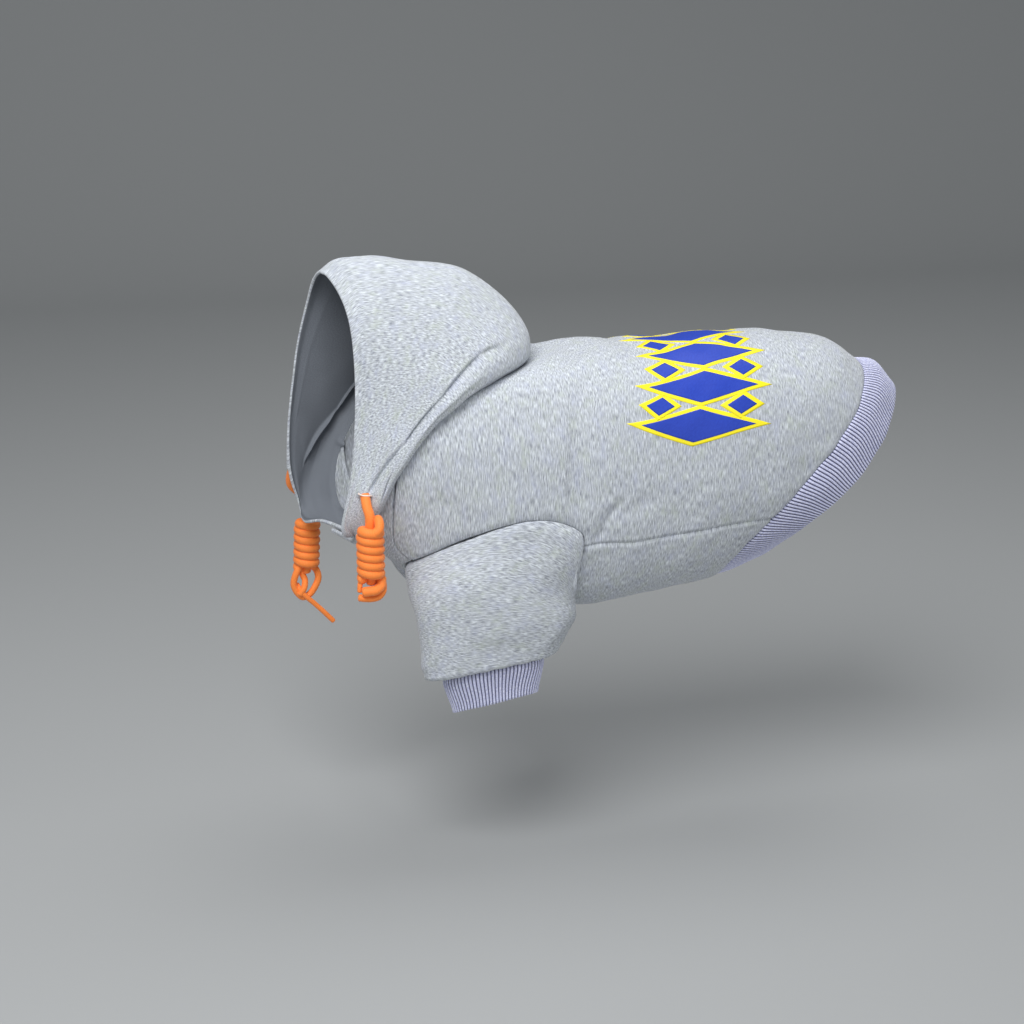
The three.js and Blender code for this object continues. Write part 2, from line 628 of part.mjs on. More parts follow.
add("left_cuff", cuffSolid(1), "rib");
add("right_cuff", cuffSolid(-1), "rib");
add("left_cord", cordSolid(EXITS[0]), "cord");
add("right_cord", cordSolid(EXITS[1]), "cord");
add("left_knot", knotSolid(EXITS[0]), "cord");
add("right_knot", knotSolid(EXITS[1]), "cord");

export default group;
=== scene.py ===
"""A pullover hoodie for a small dog, in the form that it has when it is worn.

Every cloth piece is a surface of two parameters: a place along the piece and an angle
round it. A table holds a few sections of the piece, a smooth curve joins them, and folds,
seams and ribs are rises along the way out of that surface. X runs from the head to the
tail, Z is up and -Y is the wearer's left. Lengths in the tables and formulas are in
millimetres, and each mesh is written in metres.
"""

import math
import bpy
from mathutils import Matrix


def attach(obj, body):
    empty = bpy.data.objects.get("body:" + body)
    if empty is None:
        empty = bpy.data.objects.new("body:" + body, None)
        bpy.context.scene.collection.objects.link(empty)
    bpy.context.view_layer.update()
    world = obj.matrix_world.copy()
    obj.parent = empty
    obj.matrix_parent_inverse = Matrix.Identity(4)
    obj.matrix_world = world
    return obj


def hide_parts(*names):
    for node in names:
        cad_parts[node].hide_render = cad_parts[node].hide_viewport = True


bl_info = {
    "name": "Dog Hoodie",
    "version": (1, 0, 0),
    "blender": (4, 5, 0),
    "location": "View3D > Sidebar > Hoodie",
    "description": "Builds a fleece hoodie with ribbed bands and a drawcord round its solid model",
    "category": "Object",
}

import bpy
import numpy as np
from mathutils import Vector

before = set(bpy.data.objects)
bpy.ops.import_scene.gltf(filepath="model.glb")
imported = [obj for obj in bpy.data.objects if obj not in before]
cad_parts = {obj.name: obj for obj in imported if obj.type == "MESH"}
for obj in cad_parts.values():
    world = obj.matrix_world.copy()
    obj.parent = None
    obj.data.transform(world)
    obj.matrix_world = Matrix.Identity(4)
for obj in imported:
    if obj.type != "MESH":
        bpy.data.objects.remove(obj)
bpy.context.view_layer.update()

MM = 0.001

# Gap between two pieces that are sewn together, in millimetres
SEAM_GAP = 0.5

# Body sections: each joins a point on the back to a point on the belly.
# Columns: place, top X, top Z, bottom X, bottom Z, half width, forward bow, low bow,
# yaw in degrees, egg, squareness, squareness of the lower half
BODY = [
    [0.00, -0.116, -0.042, -0.603, -0.663, 0.371, 0.189, 0.000, 16, -0.05, 0.04, 0.10],
    [0.14, 0.008, 0.005, -0.529, -0.747, 0.424, 0.158, 0.000, 11, -0.03, 0.06, 0],
    [0.30, 0.157, 0.011, -0.393, -0.874, 0.477, 0.105, 0.000, 6, 0.00, 0.08, 0],
    [0.46, 0.314, 0.011, -0.198, -0.958, 0.500, 0.053, 0.000, 3, 0.03, 0.10, 0],
    [0.62, 0.475, 0.021, -0.021, -0.984, 0.500, 0.021, 0.000, 0, 0.05, 0.10, 0],
    [0.80, 0.661, 0.011, 0.207, -0.958, 0.485, 0.000, 0.000, 0, 0.05, 0.10, 0],
    [0.92, 0.814, -0.028, 0.355, -0.937, 0.455, 0.010, 0.026, 0, 0.05, 0.08, 0],
    [1.00, 0.902, -0.106, 0.446, -0.911, 0.424, 0.016, 0.050, 0, 0.05, 0.06, 0],
]

# Hem band sections, added to the last section of the body. Same columns.
BAND = [
    [0.0, 0.00, 0.00, 0.00, 0.00, 0.00, 0.00, 0.00, 0, 0, 0, 0],
    [0.5, 0.42, -0.08, 0.50, 0.09, -0.03, -0.09, -0.04, 0, 0, -0.08, 0],
    [1.0, 0.80, -0.50, 0.98, 0.28, -0.13, -0.19, -0.09, 0, 0, -0.16, 0],
]

# Hood sections, added to the first section of the body. Same columns.
HOOD = [
    [0.00, 0.000, 0.000, 0.000, 0.000, 0.00, 0.000, 0.000, 0, 0.00, 0.00, 0.00],
    [0.08, 0.034, 0.110, -0.014, -0.012, 0.27, -0.004, 0.000, 0, 0.00, 0.00, 0.02],
    [0.15, 0.028, 0.260, -0.030, -0.026, 0.38, -0.015, 0.020, 0, -0.05, 0.00, 0.06],
    [0.25, -0.030, 0.453, -0.043, -0.034, 0.35, -0.053, 0.040, 1, -0.10, -0.01, 0.14],
    [0.38, -0.134, 0.667, -0.054, -0.037, 0.22, -0.120, 0.070, 1, -0.15, -0.02, 0.22],
    [0.53, -0.306, 0.853, -0.062, -0.033, 0.06, -0.187, 0.107, 2, -0.17, -0.02, 0.30],
    [0.70, -0.530, 0.960, -0.069, -0.024, -0.10, -0.253, 0.147, 3, -0.17, -0.02, 0.36],
    [0.85, -0.784, 1.000, -0.075, -0.013, -0.20, -0.320, 0.190, 4, -0.15, -0.02, 0.43],
    [0.95, -0.940, 0.973, -0.080, -0.002, -0.25, -0.360, 0.215, 4, -0.13, -0.02, 0.54],
    [1.00, -1.000, 0.893, -0.083, 0.004, -0.30, -0.373, 0.225, 4, -0.10, -0.02, 0.60],
]

# Bends of the hood opening's edge. Columns: side (1 left, -1 right), angle, width in
# degrees, shift to the tail and upwards as shares of the hood's height
OPENING = [
    [1, 92, 26, 0.067, 0],
    [1, 127, 13, -0.087, 0],
    [1, 147, 14, 0, 0.133],
    [-1, 130, 13, 0.053, 0],
]

# Seam between the back and the chest panel. Columns: place, angle from the spine
SIDE_SEAM = [
    [0.00, 115], [0.07, 135], [0.13, 150], [0.20, 152], [0.30, 140], [0.45, 122],
    [0.54, 112], [0.66, 109.5], [0.80, 108], [1.00, 108],
]

# Armhole on the body's surface, closed. Columns: turn, place, angle from the spine
ARMHOLE = [
    [0, 0.192, 158], [45, 0.262, 127], [90, 0.375, 106], [135, 0.495, 106],
    [180, 0.540, 118], [225, 0.545, 142], [270, 0.410, 158], [315, 0.268, 165],
]

# Sleeve sections below the armhole, as shares of the sleeve's length.
# Columns: place, front X, front Z, rear X, rear Z, outer Y, inner Y, outward tilt
SLEEVE = [
    [0.42, -0.499, -0.374, 0.430, -0.375, 0.516, -0.445, 0.262],
    [0.72, -0.466, -0.707, 0.426, -0.564, 0.536, -0.426, 0.143],
    [0.90, -0.458, -0.898, 0.359, -0.743, 0.497, -0.388, 0.083],
    [0.97, -0.424, -0.969, 0.309, -0.814, 0.459, -0.349, 0.071],
    [1.00, -0.349, -0.969, 0.251, -0.838, 0.401, -0.311, 0.071],
]
LIFT_PLACE = 0.14
LIFT_HEIGHT = 0.065
LAP = 6

# Folds. Columns: place and angle of one end, of the other end, width and depth in
# millimetres, side (1 left, -1 right, 0 both). A negative depth stands out.
BODY_FOLDS = [
    [0.17, 0, 0.16, 42, 7, 3.2, 0],
    [0.255, 0, 0.25, 34, 7, -1.0, 0],
    [0.325, 0, 0.345, 36, 7, 1.6, 0],
    [0.27, 52, 0.475, 103, 5, 1.3, 0],
    [0.245, 58, 0.44, 101, 6, -0.6, 0],
    [0.55, 110, 0.54, 93, 4, 2.4, 1],
    [0.56, 112, 0.60, 98, 4, 1.2, -1],
    [0.51, 108, 0.63, 90, 5, 1.1, 0],
    [0.03, 60, 0.05, 88, 5, 1.6, 0],
    [0.00, 84, 0.07, 90, 3, 2.6, 0],
    [0.00, 72, 0.06, 77, 3, 2.0, 0],
    [0.02, 100, 0.10, 104, 4, 1.4, 1],
    [0.14, 118, 0.24, 112, 7, 1.2, 0],
    [0.50, 150, 0.66, 170, 7, 1.2, 0],
]
HOOD_FOLDS = [
    [0.205, 46, 0.262, 58, 2.2, 2.4, 0],
    [0.262, 58, 0.263, 84, 2.1, 3.6, 0],
    [0.263, 84, 0.345, 102, 2.1, 3.6, 0],
    [0.345, 102, 0.62, 118, 2.1, 3.2, 0],
    [0.16, 62, 0.20, 98, 3.4, -1.4, 0],
    [0.60, 52, 0.52, 76, 9, 1.2, 0],
    [0.30, 113, 0.25, 123, 1.8, 1.8, 1],
]
SLEEVE_FOLDS = [
    [0.80, 60, 0.86, 125, 7, 1.6, 0],
    [0.90, 20, 0.82, 60, 6, 1.2, 0],
    [0.88, 130, 0.78, 175, 6, 1.4, 0],
    [0.40, 168, 0.72, 196, 12, -1.0, 0],
]


# Numbers along tables


def scaled(rows, units):
    """A table as an array, with each column but the place times its unit."""
    return np.array(rows, float) * np.array([1.0, *units])


def curve(rows, at):
    """Values of a table at each place: cubics through the rows, where the slope at a row
    is the mean of the slopes beside it, each weighted by the span of the other."""
    x = rows[:, 0]
    span = np.diff(x)
    rise = np.diff(rows, axis=0) / span[:, None]
    slope = np.empty_like(rows)
    slope[0] = rise[0]
    slope[-1] = rise[-1]
    both = (span[:-1] + span[1:])[:, None]
    slope[1:-1] = (rise[:-1] * span[1:, None] + rise[1:] * span[:-1, None]) / both
    at = np.clip(np.asarray(at, float), x[0], x[-1])
    i = np.clip(np.searchsorted(x, at, side="right") - 1, 0, len(span) - 1)
    h = span[i][..., None]
    t = ((at - x[i]) / span[i])[..., None]
    return (
        (2 * t**3 - 3 * t**2 + 1) * rows[i]
        + (t**3 - 2 * t**2 + t) * h * slope[i]
        + (3 * t**2 - 2 * t**3) * rows[i + 1]
        + (t**3 - t**2) * h * slope[i + 1]
    )


def loop(rows, turn):
    """Values of a closed table at each turn in degrees: cubics whose slope at a row runs
    from the row before it to the row after it."""
    n = len(rows)
    x = np.asarray(turn, float) / 360 * n
    i = np.floor(x).astype(int)
    t = (x - i)[..., None]
    p, q, r, s = (rows[(i + k) % n] for k in (-1, 0, 1, 2))
    return 0.5 * (
        2 * q + (r - p) * t + (2 * p - 5 * q + 4 * r - s) * t**2 + (3 * q - p - 3 * r + s) * t**3
    )


def smooth(start, end, x):
    """Rises from 0 at start to 1 at end, level at both."""
    t = np.clip((x - start) / (end - start), 0, 1)
    return t * t * (3 - 2 * t)


def bell(x, width):
    """A bell of height 1 round 0 that has fallen to about a third at its width."""
    return np.exp(-((x / width) ** 2))


def crowded(count):
    """Numbers from -1 to 1 that stand closer together towards both ends."""
    even = np.linspace(-1, 1, count)
    return 0.5 * even + 0.5 * np.sin(math.pi / 2 * even)


def unit(v):
    """Vectors of length 1 in the same directions."""
    return v / np.maximum(np.linalg.norm(v, axis=-1, keepdims=True), 1e-12)


def ripples(points, length, amount, seed):
    """Soft uneven waves: the sum of nine plane waves through space of about that length,
    in chance directions."""
    chance = np.random.default_rng(seed)
    ways = unit(chance.normal(size=(9, 3))) / (length * chance.uniform(0.7, 1.5, (9, 1)))
    phases = chance.uniform(0, 2 * math.pi, 9)
    return amount / 3 * np.sin(2 * math.pi * points @ ways.T + phases).sum(-1)


def folded(rows, at, degrees, side, metric):
    """Depth of the folds: each is a groove with a bell-shaped section along a straight
    line between two places, which fades to its ends. The strongest one holds."""
    depth = 0.0
    for at0, turn0, at1, turn1, width, deep, only in rows:
        ax, ay = at0 * metric[0], turn0 * metric[1]
        bx, by = at1 * metric[0] - ax, turn1 * metric[1] - ay
        px, py = at * metric[0] - ax, degrees * metric[1] - ay
        t = np.clip((px * bx + py * by) / (bx * bx + by * by), 0, 1)
        near = np.hypot(px - bx * t, py - by * t)
        here = deep * np.minimum(1, 0.35 + 3 * np.minimum(t, 1 - t)) * bell(near, width)
        if only:
            here = here * (side == only)
        depth = np.where(np.abs(here) > np.abs(depth), here, depth)
    return depth


def around(section, degrees):
    """Points on a section: a squared-off ellipse between its top and bottom point, bowed
    forward and turned by its yaw. The angle runs from the spine over the left side."""
    top_x, top_z, low_x, low_z, half, bow, low_bow, yaw, egg, square, square_low = (
        section[..., k] for k in range(1, 12)
    )
    cos, sin = np.cos(np.radians(degrees)), np.sin(np.radians(degrees))
    dx, dz = top_x - low_x, top_z - low_z
    length = np.hypot(dx, dz)
    corner = square + square_low * (1 - cos) / 2
    along = cos * (1 + corner * sin**2)
    out = sin * (1 + corner * cos**2) * (1 + egg * cos) * half
    ahead = sin**2 * (bow - low_bow * cos)
    turn = np.radians(yaw)
    return np.stack(
        [
            (top_x + low_x) / 2 + dx / 2 * along + out * np.sin(turn) - dz / length * ahead,
            -out * np.cos(turn),
            (top_z + low_z) / 2 + dz / 2 * along + dx / length * ahead,
        ],
        axis=-1,
    )


def outward(surface, at, degrees, hand):
    """The way out of a surface: the cross product of its two tangents, each taken as the
    difference of two points a small step apart."""
    along = surface(at + 1e-3, degrees) - surface(at - 1e-3, degrees)
    across = surface(at, degrees + 0.1) - surface(at, degrees - 0.1)
    return unit(np.cross(across, along)) * hand


def evened(surface, at, degrees, hand, reach, turn):
    """The way out, averaged over a patch of places and angles, so that a wall laid off it
    doesn't fold over where the surface turns tightly."""
    total = 0
    for shift in np.linspace(-reach, reach, 9):
        for angle in (-turn, 0, turn):
            total = total + outward(surface, np.clip(at + shift, 0, 1), degrees + angle, hand)
    return unit(total)


def even_turns(surface, at, count):
    """Angles round a closed section that part it into stretches of equal length."""
    fine = np.linspace(0, 360, 1441)
    line = surface(np.array([[at]]), fine[None, :])[0]
    length = np.concatenate([[0], np.cumsum(np.linalg.norm(np.diff(line, axis=0), axis=1))])
    return np.interp(np.arange(count) / count * length[-1], length, fine), length[-1]


class Form:
    """The hoodie's surfaces, worked out from the sizes in the panel."""

    def __init__(self, sizes):
        names = [p.identifier for p in sizes.bl_rna.properties if p.identifier.islower()]
        size = {n: getattr(sizes, n) / MM for n in names if n not in ("rna_type", "name")}
        self.size = size
        self.fleece = size["fleece"]
        length, depth, width = size["body_length"], size["body_depth"], size["chest_width"]
        rib, cord = size["hem_rib"], size["cord"]
        self.body_rows = scaled(
            BODY, [length, depth, length, depth, width, depth, depth, 1, 1, 1, 1]
        )
        self.band_rows = scaled(BAND, [rib] * 7 + [1] * 4)
        reach, high, spread = size["hood_length"], size["hood_height"], size["hood_spread"]
        self.hood_rows = scaled(
            HOOD, [reach, high, reach, high, spread, high, high, 1, 1, 1, 1]
        )
        self.neck = self.body_rows[0] * [0, *[1] * 11]
        self.tail = self.body_rows[-1] * [0, *[1] * 11]
        self.seam_rows = np.array(SIDE_SEAM, float)
        self.armhole_rows = np.array(ARMHOLE, float)
        self.body_metric = (length, math.radians(width / 2))
        self.hood_metric = (reach * 0.72, math.radians(width / 2.4))
        self.sleeve_metric = (size["sleeve_length"], math.radians(size["sleeve_width"] / 2.6))
        turns = np.arange(0, 360, 15.0)
        self.arm_middle = {
            side: self.armhole(turns, side).mean(0) for side in (1, -1)
        }
        self.coil_radius = 1.42 * cord
        self.hole = self.armhole_outline()

    def body(self, at, degrees):
        """Points on the body: its sections along the table, each gone round by angle."""
        return around(curve(self.body_rows, at), degrees)

    def joined(self, base, rows, at, gap, degrees):
        """Points on a part that follows on from an end of the body: that end's section
        plus the table's values, moved across the seam by a gap."""
        section = curve(rows, at) + base
        length = math.hypot(base[1] - base[3], base[2] - base[4])
        ahead_x, ahead_z = (base[4] - base[2]) / length * gap, (base[1] - base[3]) / length * gap
        section = section + np.array([0, ahead_x, ahead_z, ahead_x, ahead_z, *[0] * 7])
        return around(section, degrees)

    def hood(self, at, degrees):
        """Points on the hood, from the neck seam at place 0 to the opening at 1, where its
        edge has a few soft bends."""
        points = self.joined(self.neck, self.hood_rows, at, 0.3 * SEAM_GAP, degrees)
        near = self.size["hood_height"] * smooth(0.62, 1, at)
        for side, angle, width, back, up in OPENING:
            share = near * bell(degrees * side - angle, width)
            points[..., 0] += back * share
            points[..., 2] += up * share
        return points

    def cord_exit(self, side):
        """The point on the hood where the cord leaves its casing."""
        _, at, turn, *_ = EXITS["left" if side > 0 else "right"]
        return self.hood(np.array([[at]]), np.array([[turn * side]], float))[0, 0]

    def band(self, at, degrees):
        """Points on the hem band, from the body at place 0 to the free edge at 1."""
        return self.joined(self.tail, self.band_rows, at, -0.3 * SEAM_GAP, degrees)

    def armhole(self, turn, side):
        """Points on the armhole's edge."""
        row = loop(self.armhole_rows, turn)
        return self.body(row[..., 1], row[..., 2] * side)

    def armhole_outline(self):
        """The armhole round its middle, on the body rolled out flat: the middle, and how
        far the edge is from it at each angle."""
        row = loop(self.armhole_rows, np.linspace(0, 360, 721)[:-1])
        flat = row[:, 1:] * self.body_metric
        middle = flat.mean(0)
        away = flat - middle
        angle = np.arctan2(away[:, 1], away[:, 0])
        order = np.argsort(angle)
        return middle, angle[order], np.hypot(away[:, 0], away[:, 1])[order]

    def past_armhole(self, at, degrees):
        """How far a place is from the armhole's middle, as a share of the edge's own
        distance that way, and its distance past the edge in millimetres."""
        middle, angles, reaches = self.hole
        x = at * self.body_metric[0] - middle[0]
        y = np.abs(turned(degrees)) * self.body_metric[1] - middle[1]
        edge = np.interp(np.arctan2(y, x), angles, reaches, period=2 * math.pi)
        far = np.hypot(x, y)
        return far / edge, far - edge

    def onto_armhole(self, at, degrees):
        """The place and angle on the armhole's edge, straight out from its middle."""
        middle = self.hole[0] / self.body_metric
        share = self.past_armhole(at, degrees)[0]
        angle = np.abs(turned(degrees))
        moved = middle[1] + (angle - middle[1]) / share
        new = np.where(turned(degrees) < 0, -moved, moved)
        new = np.where(degrees > 180, new + 360, new)
        return middle[0] + (at - middle[0]) / share, new

    def sleeve(self, at, turn, side):
        """Points on a sleeve: for each turn a smooth line from the armhole's edge through
        the table's sections down to the cuff."""
        turn = np.asarray(turn, float).reshape(-1)
        row = loop(self.armhole_rows, turn)
        top = self.body(row[:, 1], row[:, 2] * side)
        out = outward(self.body, row[:, 1], row[:, 2] * side, 1)
        inward = self.arm_middle[side] - top
        inward = unit(inward - out * (inward * out).sum(-1, keepdims=True))
        top = top + inward * 0.9 * SEAM_GAP
        cos, sin = np.cos(np.radians(turn)), np.sin(np.radians(turn))
        along, across = cos * (1 + 0.08 * sin**2), sin * (1 + 0.08 * cos**2)
        middle = self.arm_middle[1]
        rows = []
        for place, front_x, front_z, rear_x, rear_z, outer, inner, tilt in SLEEVE:
            x = (front_x + rear_x) / 2 + (front_x - rear_x) / 2 * along
            y = (outer + inner) / 2 + (outer - inner) / 2 * across
            z = (front_z + rear_z) / 2 + (front_z - rear_z) / 2 * along + tilt * sin
            step = self.size["right_step"] * place if side < 0 else 0
            rows.append(
                np.stack(
                    [
                        middle[0] + x * self.size["sleeve_width"] + step,
                        (middle[1] - y * self.size["sleeve_span"]) * side,
                        middle[2] + z * self.size["sleeve_length"],
                    ],
                    axis=-1,
                )
            )
        share = LIFT_PLACE / SLEEVE[0][0]
        lift = LIFT_HEIGHT * self.size["sleeve_length"] * (0.5 - 0.5 * sin)
        lifted = top + (rows[0] - top) * share + out * lift[:, None]
        places = [0.0, LIFT_PLACE, *(r[0] for r in SLEEVE)]
        table = np.array([top, lifted, *rows]).reshape(len(places), -1)
        lines = curve(np.column_stack([places, table]), np.asarray(at, float).reshape(-1))
        return lines[:, 1:].reshape(-1, len(turn), 3)

    def cuff(self, at, turn, side):
        """Points on a cuff: the sleeve's end carried down and drawn in."""
        at = np.asarray(at, float).reshape(-1, 1, 1)
        top = self.sleeve([1.0], turn, side)
        middle = self.sleeve([1.0], [0, 90, 180, 270], side).mean(1, keepdims=True)
        points = top + (middle - top) * 0.16 * smooth(0, 1, at) * [1, 1, 0]
        drop = self.size["cuff_rib"] * at
        points[..., :1] += 0.04 * drop
        points[..., 2:] -= 0.3 * SEAM_GAP + drop
        return points

    def body_rise(self, at, degrees):
        """Height of the body's cloth over its smooth form: the folds, soft unevenness,
        gathers towards the hem, puckers under the side seam, and a dip at each seam that
        deepens to a slit where the side seam meets the neck."""
        angle = turned(degrees)
        side = np.where(angle < 0, -1, 1)
        points = self.body(at, degrees)
        rise = -folded(BODY_FOLDS, at, np.abs(angle), side, self.body_metric)
        rise = rise + ripples(points, 46, 0.55, 3) + ripples(points, 17, 0.16, 5)
        to_hem = (1 - at) * self.body_metric[0]
        to_side = (np.abs(angle) - curve(self.seam_rows, at)[..., 1]) * self.body_metric[1]
        gather = np.sin(points[..., 2] / 4.1 + np.sin(points[..., 2] / 11) * 1.6)
        rise = rise + 0.32 * gather * np.exp(-to_hem / 13)
        pucker = np.sin(points[..., 0] / 1.35) * bell(to_side - 3.5, 4.5)
        rise = rise + 0.3 * pucker * smooth(0.56, 0.9, at) * np.exp(-to_hem / 60)
        slit = 1 - smooth(0.0, 0.12, at)
        rise = rise - (1.2 + 2.8 * slit) * bell(to_side, 1.1 + 0.3 * slit)
        rise = rise - 0.9 * bell(to_hem, 1.6) - 0.8 * bell(at * self.body_metric[0], 1.6)
        return rise - 1.1 * bell(np.maximum(self.past_armhole(at, degrees)[1], 0), 1.7)

    def hood_rise(self, at, degrees, side):
        """Height of the hood's cloth over its smooth form: the folds, soft unevenness, a
        low swelling over the cord in its casing, a dip at the ridge seam, and on the right
        a tuck that lets the left half lap over at the throat."""
        angle = np.abs(degrees)
        points = self.hood(at, degrees)
        rise = -folded(HOOD_FOLDS, at, angle, side, self.hood_metric)
        rise = rise + ripples(points, 52, 0.8, 11) + ripples(points, 18, 0.15, 12)
        to_edge = (1 - at) * self.size["hood_length"] * 0.9
        rise = rise + 0.35 * bell(to_edge - 6, 3) - 0.25 * bell(to_edge - 13, 1.6)
        rise = rise - 0.6 * bell(angle * 0.9, 1.5)
        away = points - self.cord_exit(side)
        mouth = smooth(-1.2, 0.6, away[..., 2]) * np.exp(-np.maximum(away[..., 2], 0) / 9)
        rise = rise + 4.6 * mouth * bell(np.hypot(away[..., 0], away[..., 1]), 4.6)
        if side < 0:
            tuck = self.size["hood_cloth"] + 3 * SEAM_GAP
            rise = rise - tuck * smooth(144, 164, angle)
        return rise

    def sleeve_rise(self, at, turn, side):
        """Height of a sleeve's cloth over its smooth form: the folds, soft unevenness, a
        dip at the armhole with a swelling below it, and gathers over the cuff."""
        points = self.sleeve(at, turn, side)
        down = at * self.size["sleeve_length"]
        to_cuff = (1 - at) * self.size["sleeve_length"]
        rise = -folded(SLEEVE_FOLDS, at, turn, side, self.sleeve_metric)
        rise = rise + ripples(points, 40, 0.6, 21) + ripples(points, 15, 0.15, 22)
        rise = rise - 1.1 * bell(down, 1.6) + 0.7 * bell(down - 5, 4)
        gather = np.sin(np.radians(turn) * 23 + np.sin(np.radians(turn) * 5) * 1.5)
        return rise + 0.45 * gather * np.exp(-to_cuff / 5)


def turned(degrees):
    """Angles from -180 to 180."""
    return np.where(degrees > 180, degrees - 360, degrees)


# Meshes


def new_piece(name, points, faces, smooth_flags, corners_uv, materials, slots=None):
    """A mesh object from points in millimetres and lists of faces with any number of
    corners, with its UV map in millimetres too."""
    mesh = bpy.data.meshes.new(name)
    sizes = np.concatenate([np.full(len(f), f.shape[1]) for f in faces])
    corners = np.concatenate([f.ravel() for f in faces])
    mesh.vertices.add(len(points))
    mesh.vertices.foreach_set("co", (np.asarray(points) * MM).astype(np.float32).ravel())
    mesh.loops.add(len(corners))
    mesh.loops.foreach_set("vertex_index", corners.astype(np.int32))
    mesh.polygons.add(len(sizes))
    starts = np.concatenate([[0], np.cumsum(sizes)[:-1]])
    mesh.polygons.foreach_set("loop_start", starts.astype(np.int32))
    mesh.update(calc_edges=True)
    mesh.polygons.foreach_set("use_smooth", np.asarray(smooth_flags, bool))
    layer = mesh.uv_layers.new(name="Cloth")
    layer.data.foreach_set("uv", np.asarray(corners_uv, np.float32).ravel())
    for material in materials:
        mesh.materials.append(material)
    if slots is not None:
        mesh.polygons.foreach_set("material_index", np.asarray(slots, np.int32))
    mesh.update()
    piece = bpy.data.objects.new(name, mesh)
    bpy.context.scene.collection.objects.link(piece)
    return piece


def cell_ids(rows, columns, wraps):
    """Corner numbers of each cell of a grid, going round the cell."""
    ids = np.arange(rows * columns).reshape(rows, columns)
    if wraps:
        ids = np.column_stack([ids, ids[:, 0]])
    cells = [ids[:-1, :-1], ids[1:, :-1], ids[1:, 1:], ids[:-1, 1:]]
    return np.stack(cells, axis=-1).reshape(-1, 4)


def cloth(
    name, outer, inner, uv, material, lining=None, keep=None, wraps=False, bulge=0.0, groove=None
):
    """A closed sheet of cloth: an outer and an inner grid of points, joined along every
    edge of the kept cells by a rim. Where bulge is 1 the rim is a half circle."""
    rows, columns = outer.shape[:2]
    count = rows * columns
    top, low = outer.reshape(-1, 3), inner.reshape(-1, 3)
    faces = cell_ids(rows, columns, wraps)
    faces_uv = cell_ids(rows, uv.shape[1], False)
    if keep is not None:
        faces, faces_uv = faces[keep.ravel()], faces_uv[keep.ravel()]
    a, b, c, d = (top[faces[:, k]] for k in range(4))
    if (np.cross(c - a, d - b) * (top - low)[faces[:, 0]]).sum() < 0:
        faces, faces_uv = faces[:, ::-1], faces_uv[:, ::-1]
    starts, ends = faces.ravel(), np.roll(faces, -1, axis=1).ravel()
    rim = ~np.isin(starts * count + ends, ends * count + starts)
    starts_uv, ends_uv = faces_uv.ravel()[rim], np.roll(faces_uv, -1, axis=1).ravel()[rim]
    starts, ends = starts[rim], ends[rim]
    centres = top[faces].mean(1)
    total, seen = np.zeros((count, 3)), np.zeros(count)
    np.add.at(total, faces.ravel(), np.repeat(centres, 4, axis=0))
    np.add.at(seen, faces.ravel(), 1)
    edge = np.unique(starts)
    across = (top - low)[edge]
    away = top[edge] - total[edge] / seen[edge][:, None]
    wall = np.linalg.norm(across, axis=1, keepdims=True)
    away = unit(away - across * (away * across).sum(1, keepdims=True) / wall**2)
    round_off = np.broadcast_to(bulge, (rows, columns)).ravel()[edge]
    levels = [np.full(count, -1) for _ in range(5)]
    levels[0], levels[4] = np.arange(count), np.arange(count) + count
    points = [top, low]
    for k in (1, 2, 3):
        turn = math.radians(45 * k)
        swell = math.sin(turn) * round_off[:, None] * wall / 2
        points.append((top + low)[edge] / 2 + math.cos(turn) * across / 2 + swell * away)
        levels[k][edge] = 2 * count + (k - 1) * len(edge) + np.arange(len(edge))
    rims = np.concatenate(
        [
            np.stack([levels[k][ends], levels[k][starts], levels[k + 1][starts], levels[k + 1][ends]], 1)
            for k in range(4)
        ]
    )
    rims_uv = np.tile(np.stack([ends_uv, starts_uv, starts_uv, ends_uv], 1), (4, 1))
    flat_bulge = np.broadcast_to(bulge, (rows, columns)).ravel()
    soft = np.tile((flat_bulge[starts] > 0) & (flat_bulge[ends] > 0), 4)
    flags = np.concatenate([np.ones(2 * len(faces), bool), soft])
    quads = np.concatenate([faces, faces[:, ::-1] + count, rims])
    uv_ids = np.concatenate([faces_uv, faces_uv[:, ::-1], rims_uv])
    used, packed = np.unique(quads, return_inverse=True)
    points = np.concatenate(points)[used]
    corner_uv = uv.reshape(-1, 2)[uv_ids.ravel()]
    inside = np.zeros(len(quads), int)
    inside[len(faces) : 2 * len(faces)] = 1
    fabrics, slots = ([material, lining], inside) if lining else ([material], None)
    piece = new_piece(name, points, [packed.reshape(-1, 4)], flags, corner_uv, fabrics, slots)
    # Painted shade: how much dark colour is painted into the rib grooves at each point.
    if groove is not None:
        deep = np.concatenate([groove.ravel(), groove.ravel(), *[groove.ravel()[edge]] * 3])
        layer = piece.data.attributes.new("groove", "FLOAT", "POINT")
        layer.data.foreach_set("value", deep[used].astype(np.float32))
    return piece


def smooth_line(points, step):
    """A smooth line through points, as points about a step apart."""
    points = np.asarray(points, float)
    gaps = np.linalg.norm(np.diff(points, axis=0), axis=1)
    length = np.concatenate([[0], np.cumsum(gaps)])
    at = np.linspace(0, length[-1], max(3, round(length[-1] / step) + 1))
    return curve(np.column_stack([length, points]), at)[:, 1:]


